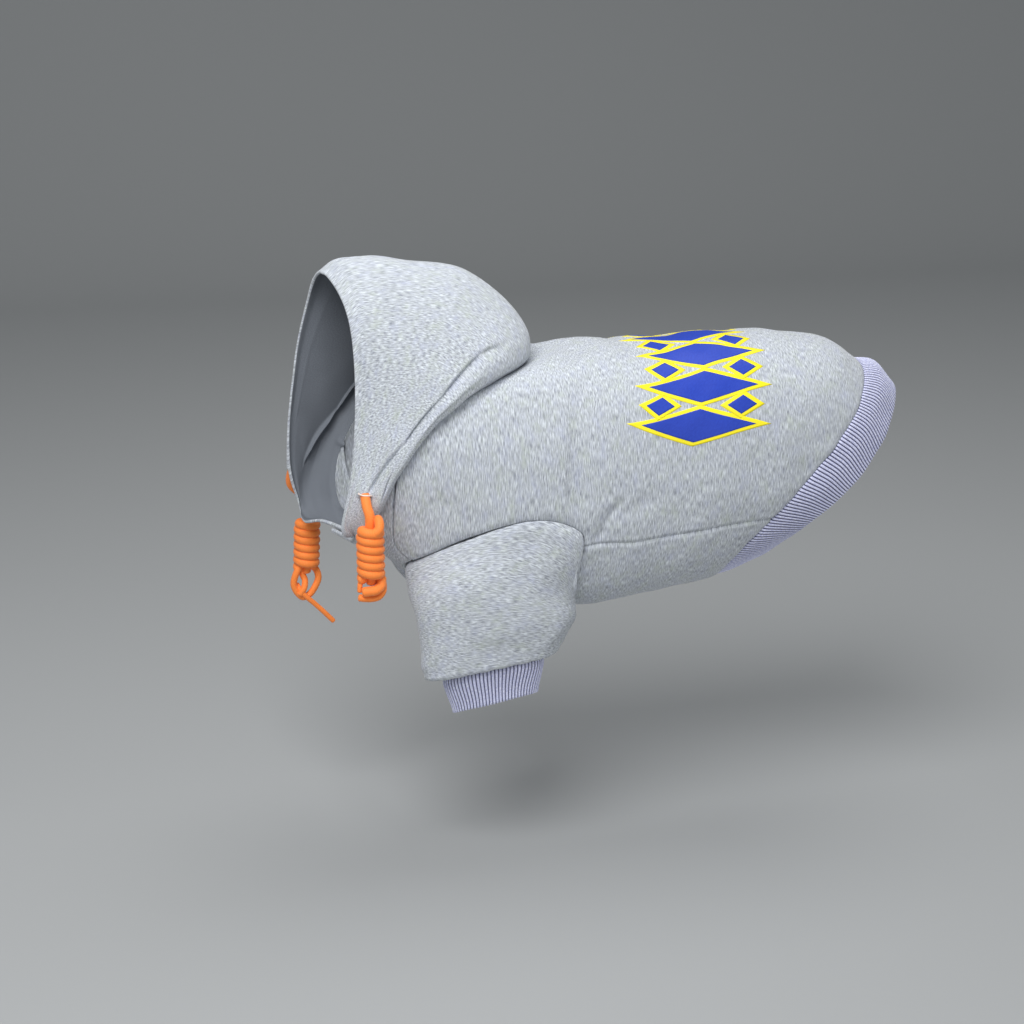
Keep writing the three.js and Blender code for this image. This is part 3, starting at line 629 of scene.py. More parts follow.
def tube(line, radius, sides=18):
    """A closed round tube along a line: a circle carried by a frame that turns as little
    as it can, and a low dome on each end. Returns its points, faces and corner UVs."""
    line = np.asarray(line, float)
    ways = unit(np.gradient(line, axis=0))
    radii = np.broadcast_to(np.asarray(radius, float), len(line)).copy()
    dome = np.array([[0.42, 0.55], [0.28, 0.82], [0.1, 0.96]])
    first = [line[0] - ways[0] * radii[0] * d for d, _ in dome]
    last = [line[-1] + ways[-1] * radii[-1] * d for d, _ in dome[::-1]]
    line = np.array([*first, *line, *last])
    ways = np.concatenate([np.repeat(ways[:1], 3, 0), ways, np.repeat(ways[-1:], 3, 0)])
    radii = np.concatenate([radii[0] * dome[:, 1], radii, radii[-1] * dome[::-1, 1]])
    side = unit(np.cross(ways[0], [0.3, 0.5, 0.8]))
    sides_way = []
    for way in ways:
        side = unit(side - way * (side @ way))
        sides_way.append(side)
    sides_way = np.array(sides_way)
    others = np.cross(ways, sides_way)
    turn = np.arange(sides) / sides * 2 * math.pi
    rings = (
        line[:, None]
        + radii[:, None, None]
        * (np.cos(turn)[None, :, None] * sides_way[:, None] + np.sin(turn)[None, :, None] * others[:, None])
    )
    n = len(line)
    quads = cell_ids(n, sides, True)[:, ::-1]
    points = np.concatenate([rings.reshape(-1, 3), [line[0] - ways[0] * 0.05], [line[-1] + ways[-1] * 0.05]])
    ids = np.arange(sides)
    after = (ids + 1) % sides
    caps = np.concatenate(
        [
            np.stack([ids, after, np.full(sides, n * sides)], 1)[:, ::-1],
            np.stack([(n - 1) * sides + after, (n - 1) * sides + ids, np.full(sides, n * sides + 1)], 1)[:, ::-1],
        ]
    )
    length = np.concatenate([[0], np.cumsum(np.linalg.norm(np.diff(line, axis=0), axis=1))])
    girth = 2 * math.pi * radii.max()
    grid_u = np.broadcast_to(np.linspace(0, girth, sides + 1), (n, sides + 1))
    grid = np.stack([grid_u, np.broadcast_to(length[:, None], (n, sides + 1))], -1)
    quads_uv = grid.reshape(-1, 2)[cell_ids(n, sides + 1, False)[:, ::-1].ravel()]
    caps_uv = np.zeros((caps.size, 2))
    return points, quads, caps, quads_uv, caps_uv


def tubes(name, parts, material):
    """One object from several closed tubes, each a line and its radius."""
    points, quads, caps, quads_uv, caps_uv = [], [], [], [], []
    start = 0
    for line, radius in parts:
        p, q, c, qu, cu = tube(line, radius)
        points.append(p)
        quads.append(q + start)
        caps.append(c + start)
        quads_uv.append(qu)
        caps_uv.append(cu)
        start += len(p)
    faces = [np.concatenate(quads), np.concatenate(caps)]
    uv = np.concatenate([*quads_uv, *caps_uv])
    flags = np.ones(len(faces[0]) + len(faces[1]), bool)
    return new_piece(name, np.concatenate(points), faces, flags, uv, [material])


# Materials


def linear(colour):
    """An sRGB hex colour as linear red, green and blue with full alpha."""
    parts = [int(colour[k : k + 2], 16) / 255 for k in (1, 3, 5)]
    return (*(c / 12.92 if c <= 0.04045 else ((c + 0.055) / 1.055) ** 2.4 for c in parts), 1.0)


def add(tree, kind, inputs=None, **settings):
    """Adds a node, sets its properties, and sets or links its inputs."""
    node = tree.nodes.new(kind)
    for name, value in settings.items():
        setattr(node, name, value)
    for name, value in (inputs or {}).items():
        if isinstance(value, bpy.types.NodeSocket):
            tree.links.new(value, node.inputs[name])
        else:
            node.inputs[name].default_value = value
    return node


def new_material(name):
    """An empty node material with its shader, and the tree to fill."""
    material = bpy.data.materials.new(name)
    material.use_nodes = True
    tree = material.node_tree
    return material, tree, tree.nodes["Principled BSDF"]


def grain(tree, vector, across, along, detail=2.0, rough=0.55):
    """Noise whose blotches are so many millimetres across and along the map."""
    place = add(tree, "ShaderNodeMapping", {"Vector": vector, "Scale": (1 / across, 1 / along, 1)})
    noise = {"Vector": place.outputs[0], "Scale": 1.0, "Detail": detail, "Roughness": rough}
    return add(tree, "ShaderNodeTexNoise", noise).outputs["Fac"]


def ranged(tree, value, low, high, new_low=0.0, new_high=1.0):
    """A value's range from low to high, spread to a new range and held to it."""
    inputs = {"Value": value, 1: low, 2: high, 3: new_low, 4: new_high}
    return add(tree, "ShaderNodeMapRange", inputs).outputs[0]


def mixed(tree, share, first, second, blend_type="MIX"):
    """Two colours mixed by a share."""
    inputs = {0: share, 6: first, 7: second}
    return add(tree, "ShaderNodeMix", inputs, data_type="RGBA", blend_type=blend_type).outputs[2]


def maths(tree, operation, first, second=0.0):
    """Two values worked together."""
    return add(tree, "ShaderNodeMath", {0: first, 1: second}, operation=operation).outputs[0]


def fleece_material(looks):
    """Brushed cotton fleece, grey marl. White, grey and a few blue-black fibres are
    carded together before the yarn is spun, so short flecks run along the knit; the
    brushed side scatters light and has no gloss."""
    material, tree, shader = new_material("fleece_grey_marl")
    cloth_map = add(tree, "ShaderNodeUVMap", uv_map="Cloth").outputs[0]
    flecks = grain(tree, cloth_map, 0.6, 4.2, 2.0, 0.5)
    streaks = grain(tree, cloth_map, 1.8, 22.0, 2.0)
    dark = grain(tree, cloth_map, 0.55, 3.4, 2.0, 0.5)
    tint = grain(tree, cloth_map, 9.0, 14.0, 5.0, 0.75)
    body = mixed(tree, ranged(tree, flecks, 0.34, 0.66), linear(looks["fleece_dark"]), linear(looks["fleece_light"]))
    shade = ranged(tree, streaks, 0.35, 0.65, 0.0, 0.45)
    body = mixed(tree, shade, body, linear(looks["fleece_middle"]))
    green = ranged(tree, tint, 0.52, 0.68, 0.0, 0.42)
    body = mixed(tree, green, body, linear("#b3bdaa"))
    blue = ranged(tree, tint, 0.48, 0.32, 0.0, 0.42)
    body = mixed(tree, blue, body, linear("#aeb4cf"))
    body = mixed(tree, ranged(tree, dark, 0.6, 0.76, 0.0, 0.6), body, linear("#777c87"))
    tree.links.new(body, shader.inputs["Base Color"])
    shader.inputs["Roughness"].default_value = 0.95
    shader.inputs["Specular IOR Level"].default_value = 0.2
    shader.inputs["Sheen Weight"].default_value = 0.25
    shader.inputs["Sheen Roughness"].default_value = 0.6
    fuzz = grain(tree, cloth_map, 0.4, 1.4, 2.0, 0.6)
    height = maths(tree, "ADD", flecks, maths(tree, "MULTIPLY", fuzz, 0.5))
    bump = {"Height": height, "Strength": 0.5, "Distance": 0.35 * MM}
    tree.links.new(add(tree, "ShaderNodeBump", bump).outputs[0], shader.inputs["Normal"])
    return material


def shaded_lining_material(looks):
    """Cotton jersey inside the hood: a smooth, thin knit with a fine even grain. It is painted
    darker than the fleece over it, as painted shade for the shadow inside a worn hood."""
    material, tree, shader = new_material("cotton_jersey_slate")
    cloth_map = add(tree, "ShaderNodeUVMap", uv_map="Cloth").outputs[0]
    knit = grain(tree, cloth_map, 0.45, 1.2, 2.0, 0.6)
    # Painted shade: the inside of the hood gets a dark grey for the shadow that falls in it.
    body = mixed(tree, ranged(tree, knit, 0.35, 0.65, 0.0, 0.4), linear(looks["lining"]), linear("#8f949c"))
    tree.links.new(body, shader.inputs["Base Color"])
    shader.inputs["Roughness"].default_value = 0.9
    shader.inputs["Specular IOR Level"].default_value = 0.2
    bump = {"Height": knit, "Strength": 0.4, "Distance": 0.2 * MM}
    tree.links.new(add(tree, "ShaderNodeBump", bump).outputs[0], shader.inputs["Normal"])
    return material


def rib_material(looks):
    """Cotton and elastane rib knit, dyed lavender-blue over marl. The ridges catch the
    light, and the bottom of each groove is painted dark navy as painted shade."""
    material, tree, shader = new_material("rib_knit_lavender")
    cloth_map = add(tree, "ShaderNodeUVMap", uv_map="Cloth").outputs[0]
    groove = add(tree, "ShaderNodeAttribute", attribute_name="groove").outputs["Fac"]
    yarn = grain(tree, cloth_map, 0.7, 1.6, 3.0, 0.6)
    blotch = grain(tree, cloth_map, 5.0, 7.0, 2.0)
    ridge = mixed(tree, ranged(tree, yarn, 0.32, 0.68), linear(looks["rib_dark"]), linear(looks["rib_light"]))
    ridge = mixed(tree, ranged(tree, blotch, 0.35, 0.7, 0.0, 0.4), ridge, linear(looks["rib_middle"]))
    # Painted shade: the grooves between the ribs are painted dark navy.
    deep = ranged(tree, groove, 0.15, 0.7)
    body = mixed(tree, deep, ridge, linear(looks["rib_groove"]))
    tree.links.new(body, shader.inputs["Base Color"])
    shader.inputs["Roughness"].default_value = 0.92
    shader.inputs["Specular IOR Level"].default_value = 0.2
    shader.inputs["Sheen Weight"].default_value = 0.2
    shader.inputs["Sheen Roughness"].default_value = 0.6
    stitch = add(tree, "ShaderNodeTexWave", {
        "Vector": add(tree, "ShaderNodeMapping", {"Vector": cloth_map, "Scale": (1, 1, 1)}).outputs[0],
        "Scale": 0.2, "Distortion": 3.0, "Detail": 2.0, "Detail Scale": 2.0,
    }, bands_direction="Y").outputs["Fac"]
    height = maths(tree, "ADD", maths(tree, "MULTIPLY", stitch, 0.5), yarn)
    bump = {"Height": height, "Strength": 0.5, "Distance": 0.3 * MM}
    tree.links.new(add(tree, "ShaderNodeBump", bump).outputs[0], shader.inputs["Normal"])
    return material


def cord_material(looks):
    """Polyester cord with a braided sheath, dyed orange. The braid's strands cross in
    both directions, and the smooth filaments have a soft gloss. Strands that face the
    light are painted lighter and those that turn away darker, as painted light and shade."""
    material, tree, shader = new_material("polyester_cord_orange")
    cloth_map = add(tree, "ShaderNodeUVMap", uv_map="Cloth").outputs[0]
    parts = add(tree, "ShaderNodeSeparateXYZ", {0: cloth_map}).outputs
    strand = 2 * math.pi / 1.5
    rising = maths(tree, "SINE", maths(tree, "MULTIPLY", maths(tree, "ADD", parts[0], parts[1]), strand))
    falling = maths(tree, "SINE", maths(tree, "MULTIPLY", maths(tree, "SUBTRACT", parts[0], parts[1]), strand))
    weave = maths(tree, "MULTIPLY", rising, falling)
    fine = grain(tree, cloth_map, 0.5, 0.9, 2.0)
    # Painted light and shade: the braid pattern mixes a lit and a shaded orange.
    body = mixed(tree, ranged(tree, weave, -1.0, 1.0), linear(looks["cord_dark"]), linear(looks["cord_light"]))
    body = mixed(tree, ranged(tree, fine, 0.4, 0.7, 0.0, 0.35), body, linear("#ff8a45"))
    tree.links.new(body, shader.inputs["Base Color"])
    shader.inputs["Roughness"].default_value = 0.55
    shader.inputs["Specular IOR Level"].default_value = 0.35
    shader.inputs["Sheen Weight"].default_value = 0.15
    height = maths(tree, "ADD", maths(tree, "ABSOLUTE", weave), maths(tree, "MULTIPLY", fine, 0.5))
    bump = {"Height": height, "Strength": 0.35, "Distance": 0.2 * MM}
    tree.links.new(add(tree, "ShaderNodeBump", bump).outputs[0], shader.inputs["Normal"])
    return material


def thread_material(looks):
    """Spun polyester sewing thread: pale, with a soft sheen and a fine twist."""
    material, tree, shader = new_material("polyester_thread_pale")
    shader.inputs["Base Color"].default_value = linear(looks["thread"])
    shader.inputs["Roughness"].default_value = 0.6
    cloth_map = add(tree, "ShaderNodeUVMap", uv_map="Cloth").outputs[0]
    twist = grain(tree, cloth_map, 0.3, 0.3, 1.0)
    bump = {"Height": twist, "Strength": 0.5, "Distance": 0.1 * MM}
    tree.links.new(add(tree, "ShaderNodeBump", bump).outputs[0], shader.inputs["Normal"])
    return material


def print_material(name, colour):
    """Plastisol ink, screen printed and cured: an even film that lies on the nap, with a
    low satin gloss and the cloth's grain just showing through."""
    material, tree, shader = new_material(name)
    cloth_map = add(tree, "ShaderNodeUVMap", uv_map="Cloth").outputs[0]
    nap = grain(tree, cloth_map, 1.2, 2.4, 3.0, 0.6)
    tone = mixed(tree, ranged(tree, nap, 0.35, 0.7, 0.0, 0.25), linear(colour), linear(colour), "MULTIPLY")
    tree.links.new(tone, shader.inputs["Base Color"])
    shader.inputs["Roughness"].default_value = 0.5
    shader.inputs["Specular IOR Level"].default_value = 0.35
    bump = {"Height": nap, "Strength": 0.3, "Distance": 0.2 * MM}
    tree.links.new(add(tree, "ShaderNodeBump", bump).outputs[0], shader.inputs["Normal"])
    return material


def studio_material():
    """Seamless studio paper, pale grey and matt."""
    material, _, shader = new_material("studio_paper")
    shader.inputs["Base Color"].default_value = linear("#a9abac")
    shader.inputs["Roughness"].default_value = 0.9
    shader.inputs["Specular IOR Level"].default_value = 0.1
    return material


def material_of(name, make):
    """A material made once and shared by the pieces that use it."""
    if name not in MADE:
        MADE[name] = make()
    return MADE[name]


MADE = {}


def colours(scene):
    """The panel's colours as sRGB hex values, by name."""
    found = {}
    for name in LOOKS:
        value = getattr(scene.hoodie_looks, name)
        found[name] = "#" + "".join(f"{round(min(max(c, 0), 1) * 255):02x}" for c in value)
    return found


def place(piece, slot, *nodes):
    """Sets a finished piece on the garment's one body in place of its plain solids."""
    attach(piece, "root")
    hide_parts(*nodes)
    return piece


def sheet(grid, keep=None, wraps=False):
    """Works out the area of a piece's grid from its kept cells, since worn fleece hardly
    stretches. Nothing is done with the area."""
    if wraps:
        grid = np.concatenate([grid, grid[:, :1]], axis=1)
    cells = np.cross(grid[1:, 1:] - grid[:-1, :-1], grid[:-1, 1:] - grid[1:, :-1])
    area = np.linalg.norm(cells, axis=-1) / 2
    area = float((area if keep is None else area[keep]).sum()) * MM**2


# Settings that a user would change

LENGTHS = {
    "body_length": (242, "Length of the body from the neck seam to the hem seam"),
    "body_depth": (190, "Depth of the body from the back to the belly"),
    "chest_width": (132, "Width of the body at the chest"),
    "hood_length": (134, "Reach of the hood from the neck seam to the opening"),
    "hood_height": (75, "Height of the hood over the neck seam"),
    "hood_spread": (20, "How far the hood swells past the neck on each side"),
    "hem_rib": (32, "Width of the ribbed hem band"),
    "cuff_rib": (25, "Length of the ribbed cuffs"),
    "rib_pitch": (2.5, "Distance from one knitted rib to the next"),
    "rib_depth": (1.1, "Depth of the groove between two ribs"),
    "sleeve_length": (84, "Length of the sleeves from the armhole's middle to the cuff"),
    "sleeve_width": (120, "Width of the sleeves at the armhole, front to rear"),
    "sleeve_span": (52, "Width of the sleeves from inside to outside"),
    "right_step": (16, "How far the right sleeve's end is set back"),
    "cord": (6.8, "Diameter of the drawcord"),
    "left_drop": (18, "Free length of the left cord over its knot"),
    "right_drop": (42, "Free length of the right cord over its knot"),
    "fleece": (2.2, "Thickness of the fleece"),
    "hood_cloth": (2.4, "Thickness of the hood"),
    "rib_cloth": (2.4, "Thickness of the rib knit"),
}
LOOKS = {
    "fleece_light": ("#dfe5eb", "Light fibres of the fleece"),
    "fleece_middle": ("#b5bac2", "Mean shade of the fleece"),
    "fleece_dark": ("#8a8f98", "Dark fibres of the fleece"),
    "rib_light": ("#eef0ff", "Light yarn of the ribs"),
    "rib_middle": ("#d3d7f6", "Mean shade of the ribs"),
    "rib_dark": ("#a6aad6", "Dark yarn of the ribs"),
    # Painted shade: the dark navy painted into the bottoms of the rib grooves.
    "rib_groove": ("#2b2b58", "Yarn at the bottom of the grooves"),
    # Painted shade: a dark grey for the inside of the hood, standing for the shadow in it.
    "lining": ("#6c7179", "Inside of the hood"),
    "thread": ("#f0dcd0", "Thread round the cord's openings"),
    # Painted light and shade: lit and shaded oranges of the cord's braid strands.
    "cord_light": ("#ffa04a", "Strands of the cord that catch the light"),
    "cord_dark": ("#ff7322", "Strands of the cord that turn away"),
    "print_field": ("#2746b8", "Ink of the printed lozenges"),
    "print_edge": ("#fff02a", "Ink of the lozenges' outlines"),
}


def hex_parts(colour):
    """An sRGB hex colour as three shares."""
    return tuple(int(colour[k : k + 2], 16) / 255 for k in (1, 3, 5))


class HoodieSizes(bpy.types.PropertyGroup):
    """Sizes of the hoodie"""

    __annotations__ = {
        name: bpy.props.FloatProperty(
            name=name.replace("_", " ").capitalize(),
            description=text,
            default=value * MM,
            min=0.0001,
            unit="LENGTH",
            precision=4,
        )
        for name, (value, text) in LENGTHS.items()
    }


class HoodieLooks(bpy.types.PropertyGroup):
    """Colours of the hoodie, as sRGB shares"""

    __annotations__ = {
        name: bpy.props.FloatVectorProperty(
            name=name.replace("_", " ").capitalize(),
            description=text,
            default=hex_parts(value),
            min=0.0,
            max=1.0,
            subtype="COLOR_GAMMA",
        )
        for name, (value, text) in LOOKS.items()
    }


# Pieces

# Where each cord leaves the hood's casing. Columns: side (1 left, -1 right), place, angle,
# how far the knot leans and how far the cord bends towards the tail, in cord diameters
EXITS = {"left": (1, 0.66, 118, 0.4, 0.0), "right": (-1, 0.84, 118, 1.5, -0.9)}


class HOODIE_OT_stage(bpy.types.Operator):
    """Camera at the picture's angle, a pale floor that curves up behind, soft lights"""

    bl_idname = "hoodie.stage"
    bl_label = "Stage"

    def execute(self, context):
        """Sets the camera by the point that it looks at, its azimuth, elevation and
        distance; the floor is a profile carried sideways."""
        scene = context.scene
        target = Vector((-33.77, 0.0, -117.84)) * MM
        azimuth, elevation = math.radians(-12.0), math.radians(18.0)
        back = Vector(
            (
                math.sin(azimuth) * math.cos(elevation),
                -math.cos(azimuth) * math.cos(elevation),
                math.sin(elevation),
            )
        )
        lens = bpy.data.cameras.new("camera")
        lens.lens = 70.0
        lens.sensor_width = 36.0
        camera = bpy.data.objects.new("camera", lens)
        camera.location = target + back * 1.4
        camera.rotation_mode = "QUATERNION"
        camera.rotation_quaternion = (-back).to_track_quat("-Z", "Y")
        scene.collection.objects.link(camera)
        scene.camera = camera
        scene.view_settings.view_transform = "Standard"

        floor_z, depth, bend, height, half = -0.36, 1.9, 0.9, 3.2, 5.0
        turn = np.linspace(0, math.pi / 2, 25)
        profile_y = np.concatenate([[-4.0], depth + bend * np.sin(turn), [depth + bend]])
        profile_z = np.concatenate([[0.0], bend * (1 - np.cos(turn)), [height]]) + floor_z
        sideways = np.array([-half, half])
        grid = np.stack(
            [
                np.broadcast_to(sideways, (len(profile_y), 2)),
                np.broadcast_to(profile_y[:, None], (len(profile_y), 2)),
                np.broadcast_to(profile_z[:, None], (len(profile_y), 2)),
            ],
            axis=-1,
        )
        faces = cell_ids(len(profile_y), 2, False)[:, ::-1]
        floor = new_piece(
            "studio_floor",
            grid.reshape(-1, 3) / MM,
            [faces],
            np.ones(len(faces), bool),
            np.zeros((faces.size, 2)),
            [studio_material()],
        )

        # Columns: name, place, what it looks at, width, watts
        lights = [
            ("key_light", (-0.5, -0.8, 1.05), (-0.06, 0.0, -0.02), 0.9, 19.5),
            ("top_light", (0.3, 0.25, 1.45), (0.0, 0.0, -0.05), 1.0, 7.5),
            ("fill_light", (0.6, -1.8, 0.1), (0.05, 0.0, -0.05), 1.2, 5.0),
        ]
        for name, spot, aim, width, watts in lights:
            lamp = bpy.data.lights.new(name, "AREA")
            lamp.shape = "DISK"
            lamp.size = width
            lamp.energy = watts
            light = bpy.data.objects.new(name, lamp)
            light.location = spot
            light.rotation_mode = "QUATERNION"
            light.rotation_quaternion = (Vector(aim) - Vector(spot)).to_track_quat("-Z", "Y")
            scene.collection.objects.link(light)
        world = bpy.data.worlds.new("studio")
        world.use_nodes = True
        world.node_tree.nodes["Background"].inputs["Color"].default_value = linear("#cbced0")
        world.node_tree.nodes["Background"].inputs["Strength"].default_value = 0.5
        scene.world = world
        return {"FINISHED"}


class HOODIE_OT_cords(bpy.types.Operator):
    """Drawcord ends: a short straight run out of the casing and a coil knot on each"""

    bl_idname = "hoodie.cords"
    bl_label = "Drawcord"

    def execute(self, context):
        """Each cord is a tube along its route; each knot is a helix of six turns that
        goes round the cord, then the loops and cut ends below it."""
        form = Form(context.scene.hoodie_sizes)
        material = material_of("cord", lambda: cord_material(colours(context.scene)))
        for name, (side, at, turn, lean, bend) in EXITS.items():
            knot, route = self.knot(form, name, side, at, turn, lean, bend, material)
            line = smooth_line(route, 1.0)
            cord = tubes(f"cord_{name}", [(line, form.size["cord"] / 2)], material)
            place(cord, "cord", f"{name}_cord")
            place(knot, "cord", f"{name}_knot")
        return {"FINISHED"}

    def knot(self, form, name, side, at, turn, lean, bend, material):
        """Makes one knot; returns it and the route of the cord that hangs into it."""
        d = form.size["cord"]
        where = np.array([[at]])
        angle = np.array([[turn * side]], float)
        surface = form.hood(where, angle)[0, 0]
        out = outward(form.hood, where, angle, -1)[0, 0]
        start = surface + out * (SEAM_GAP + d / 2)
        drop = form.size[f"{name}_drop"]
        clear = form.coil_radius - d / 2 + 2 * SEAM_GAP
        top = start + np.array([lean * d, out[1] * clear, -drop])
        above = top + [0, 0, SEAM_GAP + 0.3 * drop]
        low = -6.0
        lean_x = -0.3 if side < 0 else 0.0
        root = surface + out * 1.5
        middle = (start + above) / 2 + [bend * d, 0, 0]
        core = [top + [lean_x * d * k / 6, 0, -k * d] for k in (0.2, 2, 4, 6)]
        route = [root, middle, above, *core]

        turns = np.radians(np.linspace(200, 200 + 360 * 6, 6 * 44 + 1))
        radius = form.coil_radius / d - 0.5
        height = -0.5 - np.linspace(0, 1, len(turns)) * 5.0
        helix = np.column_stack([radius * np.cos(turns), radius * np.sin(turns), height])
        helix[:, 0] += lean_x * -height / 6
        lead_in = [[-0.3, 0.1, -0.75], [-0.65, -0.02, -0.55]]
        coil = np.concatenate([lead_in, helix])
        if side > 0:
            strands = [
                [coil, 0.5],
                [[[0.35, -0.92, -0.62], [0.72, -0.85, -0.3], [0.84, -0.6, 0.2], [0.8, -0.1, 0.52], [0.8, 0.45, 0.1], [0.7, 0.7, -0.6]], 0.48],
                [[[1.0, -0.1, low + 0.5], [0.85, -0.5, low - 0.2], [0.35, -0.85, low - 0.48], [-0.3, -0.9, low - 0.55], [-0.85, -0.85, low - 0.6]], 0.5],
                [[[1.05, 0.1, low + 0.6], [1.16, -0.1, low - 0.2], [1.08, -0.3, low - 0.85], [0.65, -0.45, low - 1.32], [0.0, -0.5, low - 1.45], [-0.6, -0.5, low - 1.42], [-1.25, -0.5, low - 1.3]], 0.36],
                [[[-0.95, 0.2, low + 0.5], [-1.15, -0.2, low - 0.1], [-1.2, -0.3, low - 0.7]], 0.26],
            ]
        else:
            strands = [
                [coil, 0.5],
                [[[-1.05, -0.4, low + 0.7], [-1.5, -0.5, low - 0.2], [-1.72, -0.5, low - 1.2], [-1.35, -0.5, low - 2.2], [-0.75, -0.45, low - 2.75], [-0.1, -0.4, low - 2.5], [0.55, -0.3, low - 1.7], [0.95, -0.1, low - 0.75], [0.75, 0.1, low + 0.1], [0.2, 0.1, low + 0.6]], 0.36],
                [[[-0.7, 0.1, low + 0.6], [-0.75, 0.0, low - 0.2], [-0.5, -0.2, low - 0.9], [-0.7, -0.75, low - 1.7], [-1.1, -0.8, low - 2.3]], 0.34],
                [[[-1.35, -0.1, low - 1.4], [-0.95, -0.75, low - 2.0], [-0.35, -0.85, low - 2.7], [0.25, -0.8, low - 3.3], [1.2, -0.75, low - 4.3], [2.35, -0.7, low - 5.6]], 0.27],
            ]
        parts = []
        for points, thick in strands:
            line = smooth_line(np.array(points, float) * d + top, 0.9)
            parts.append((line, thick * d))
        level = unit(np.cross(out, [0, 0, 1.0]))
        arch = [[-4.6, 0.2, 0.1], [-3.9, 2.9, 0.6], [0, 5.3, 0.9], [3.9, 2.9, 1.2], [4.6, 0.2, 1.5]]
        bar = [surface + level * a + out * o + [0, 0, z] for a, o, z in arch]
        thread = material_of("thread", lambda: thread_material(colours(bpy.context.scene)))
        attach(tubes(f"buttonhole_{name}", [(smooth_line(bar, 0.6), 0.55)], thread), "root")
        return tubes(f"knot_{name}", parts, material), route


class HOODIE_OT_trunk(bpy.types.Operator):
    """Back and chest panels of fleece, with the armholes cut out of both"""

    bl_idname = "hoodie.trunk"
    bl_label = "Back and chest"

    def execute(self, context):
        """Each panel is a grid over the body from one side seam to the other. Cells in an
        armhole are left out, and the points round it are moved straight onto its edge."""
        form = Form(context.scene.hoodie_sizes)
        material = material_of("fleece", lambda: fleece_material(colours(context.scene)))
        at = self.places(form)
        half_gap = 0.15 * SEAM_GAP / form.body_metric[1]
        seam = curve(form.seam_rows, at)[:, 1][:, None]
        back = crowded(225)[None, :] * (seam - half_gap)
        share = (crowded(125)[None, :] + 1) / 2
        chest = (seam + half_gap) * (1 - share) + (360 - seam - half_gap) * share
        for name, node, angles in (
            ("back_fleece", "back_panel", back),
            ("chest_fleece", "chest_panel", chest),
        ):
            piece, grid, keep = self.panel(form, name, at[:, None], angles, material)
            place(piece, "fleece", node)
            sheet(grid, keep=keep)
        return {"FINISHED"}

    def places(self, form):
        """Places along the body that meet the two points where the side seam runs into
        the armhole."""
        fine = np.linspace(0, 1, 4001)
        inside = form.past_armhole(fine, curve(form.seam_rows, fine)[:, 1])[0] < 1
        first, last = fine[inside][0], fine[inside][-1]
        counts = [round(176 * span) for span in (first, last - first, 1 - last)]
        return np.concatenate(
            [
                np.linspace(0, first, counts[0])[:-1],
                np.linspace(first, last, counts[1])[:-1],
                np.linspace(last, 1, counts[2]),
            ]
        )

    def panel(self, form, name, at, angles, material):
        """One panel between two lists of angles, its armholes cut out."""
        at = np.broadcast_to(at, angles.shape).copy()
        angles = angles.copy()
        mid = lambda g: (g[:-1, :-1] + g[1:, :-1] + g[1:, 1:] + g[:-1, 1:]) / 4
        keep = form.past_armhole(mid(at), mid(angles))[0] >= 1
        touch = lambda cells: (
            np.pad(cells, ((0, 1), (0, 1)))
            | np.pad(cells, ((1, 0), (0, 1)))
            | np.pad(cells, ((0, 1), (1, 0)))
            | np.pad(cells, ((1, 0), (1, 0)))
        )
        edge = touch(keep) & touch(~keep)
        new_at, new_angles = form.onto_armhole(at, angles)
        at, angles = np.where(edge, new_at, at), np.where(edge, new_angles, angles)
        base = form.body(at, angles)
        out = outward(form.body, at, angles, 1)
        rise = form.body_rise(at, angles)[..., None]
        outer = base + out * rise
        depth = np.minimum(np.clip(rise, -1.2, 0.4) - form.fleece, rise - 0.8)
        inner = base + out * depth
        uv = np.stack([base[..., 0], angles * form.body_metric[1] * 1.2], -1)
        piece = cloth(name, outer, inner, uv, material, keep=keep, bulge=0.3)
        return piece, base, keep


class HOODIE_OT_print(bpy.types.Operator):
    """Screen print across the back: a row of lozenges with pale outlines"""

    bl_idname = "hoodie.print"
    bl_label = "Back print"

    def execute(self, context):
        """Each lozenge is a grid whose two ways run along its sides, laid on the back by
        the length along the spine and the length round the girth. The outline is a larger
        lozenge just under the field."""
        form = Form(context.scene.hoodie_sizes)
        looks = colours(context.scene)
        edge = material_of("print_edge", lambda: print_material("plastisol_yellow", looks["print_edge"]))
        field = material_of("print_field", lambda: print_material("plastisol_blue", looks["print_field"]))
        middle = 0.505
        # Columns: distance along the spine, round the girth, half length, half width
        lozenges = [(0, 31 * k, 37, 13) for k in (-3, -2, -1, 0, 1, 2, 3)]
        lozenges += [(x, 31 * k + 15.5, 9.5, 7.5) for x in (-27, 27) for k in (-3, -2, -1, 0, 1, 2)]
        border = 3.0
        fine = np.linspace(-110, 110, 441)
        line = form.body(np.array([[middle]]), fine[None, :])[0]
        girth = np.concatenate([[0], np.cumsum(np.linalg.norm(np.diff(line, axis=0), axis=1))])
        girth -= np.interp(0, fine, girth)
        for name, material, grow, lift in (
            ("print_outlines", edge, border, 0.12),
            ("print_fields", field, 0.0, 0.24),
        ):
            films = []
            for x, y, length, width in lozenges:
                slant = math.hypot(1 / length, 1 / width)
                scale = 1 + grow * slant
                n = 26 if length > 20 else 12
                s, t = np.meshgrid(np.linspace(-1, 1, n), np.linspace(-1, 1, n), indexing="ij")
                across = y + width * scale * (s - t) / 2
                along = x + length * scale * (s + t) / 2 + 0.3 * np.abs(across)
                at = middle + along / form.body_metric[0]
                angles = np.interp(across, girth, fine)
                base = form.body(at, angles)
                out = outward(form.body, at, angles, 1)
                rise = form.body_rise(at, angles)[..., None]
                uv = np.stack([along, across], -1)
                top, low = base + out * (rise + lift), base + out * (rise - 0.25)
                films.append(cloth(name, top, low, uv, material))
            with context.temp_override(active_object=films[0], selected_editable_objects=films):
                bpy.ops.object.join()
            films[0].name = films[0].data.name = name
            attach(films[0], "root")
        return {"FINISHED"}


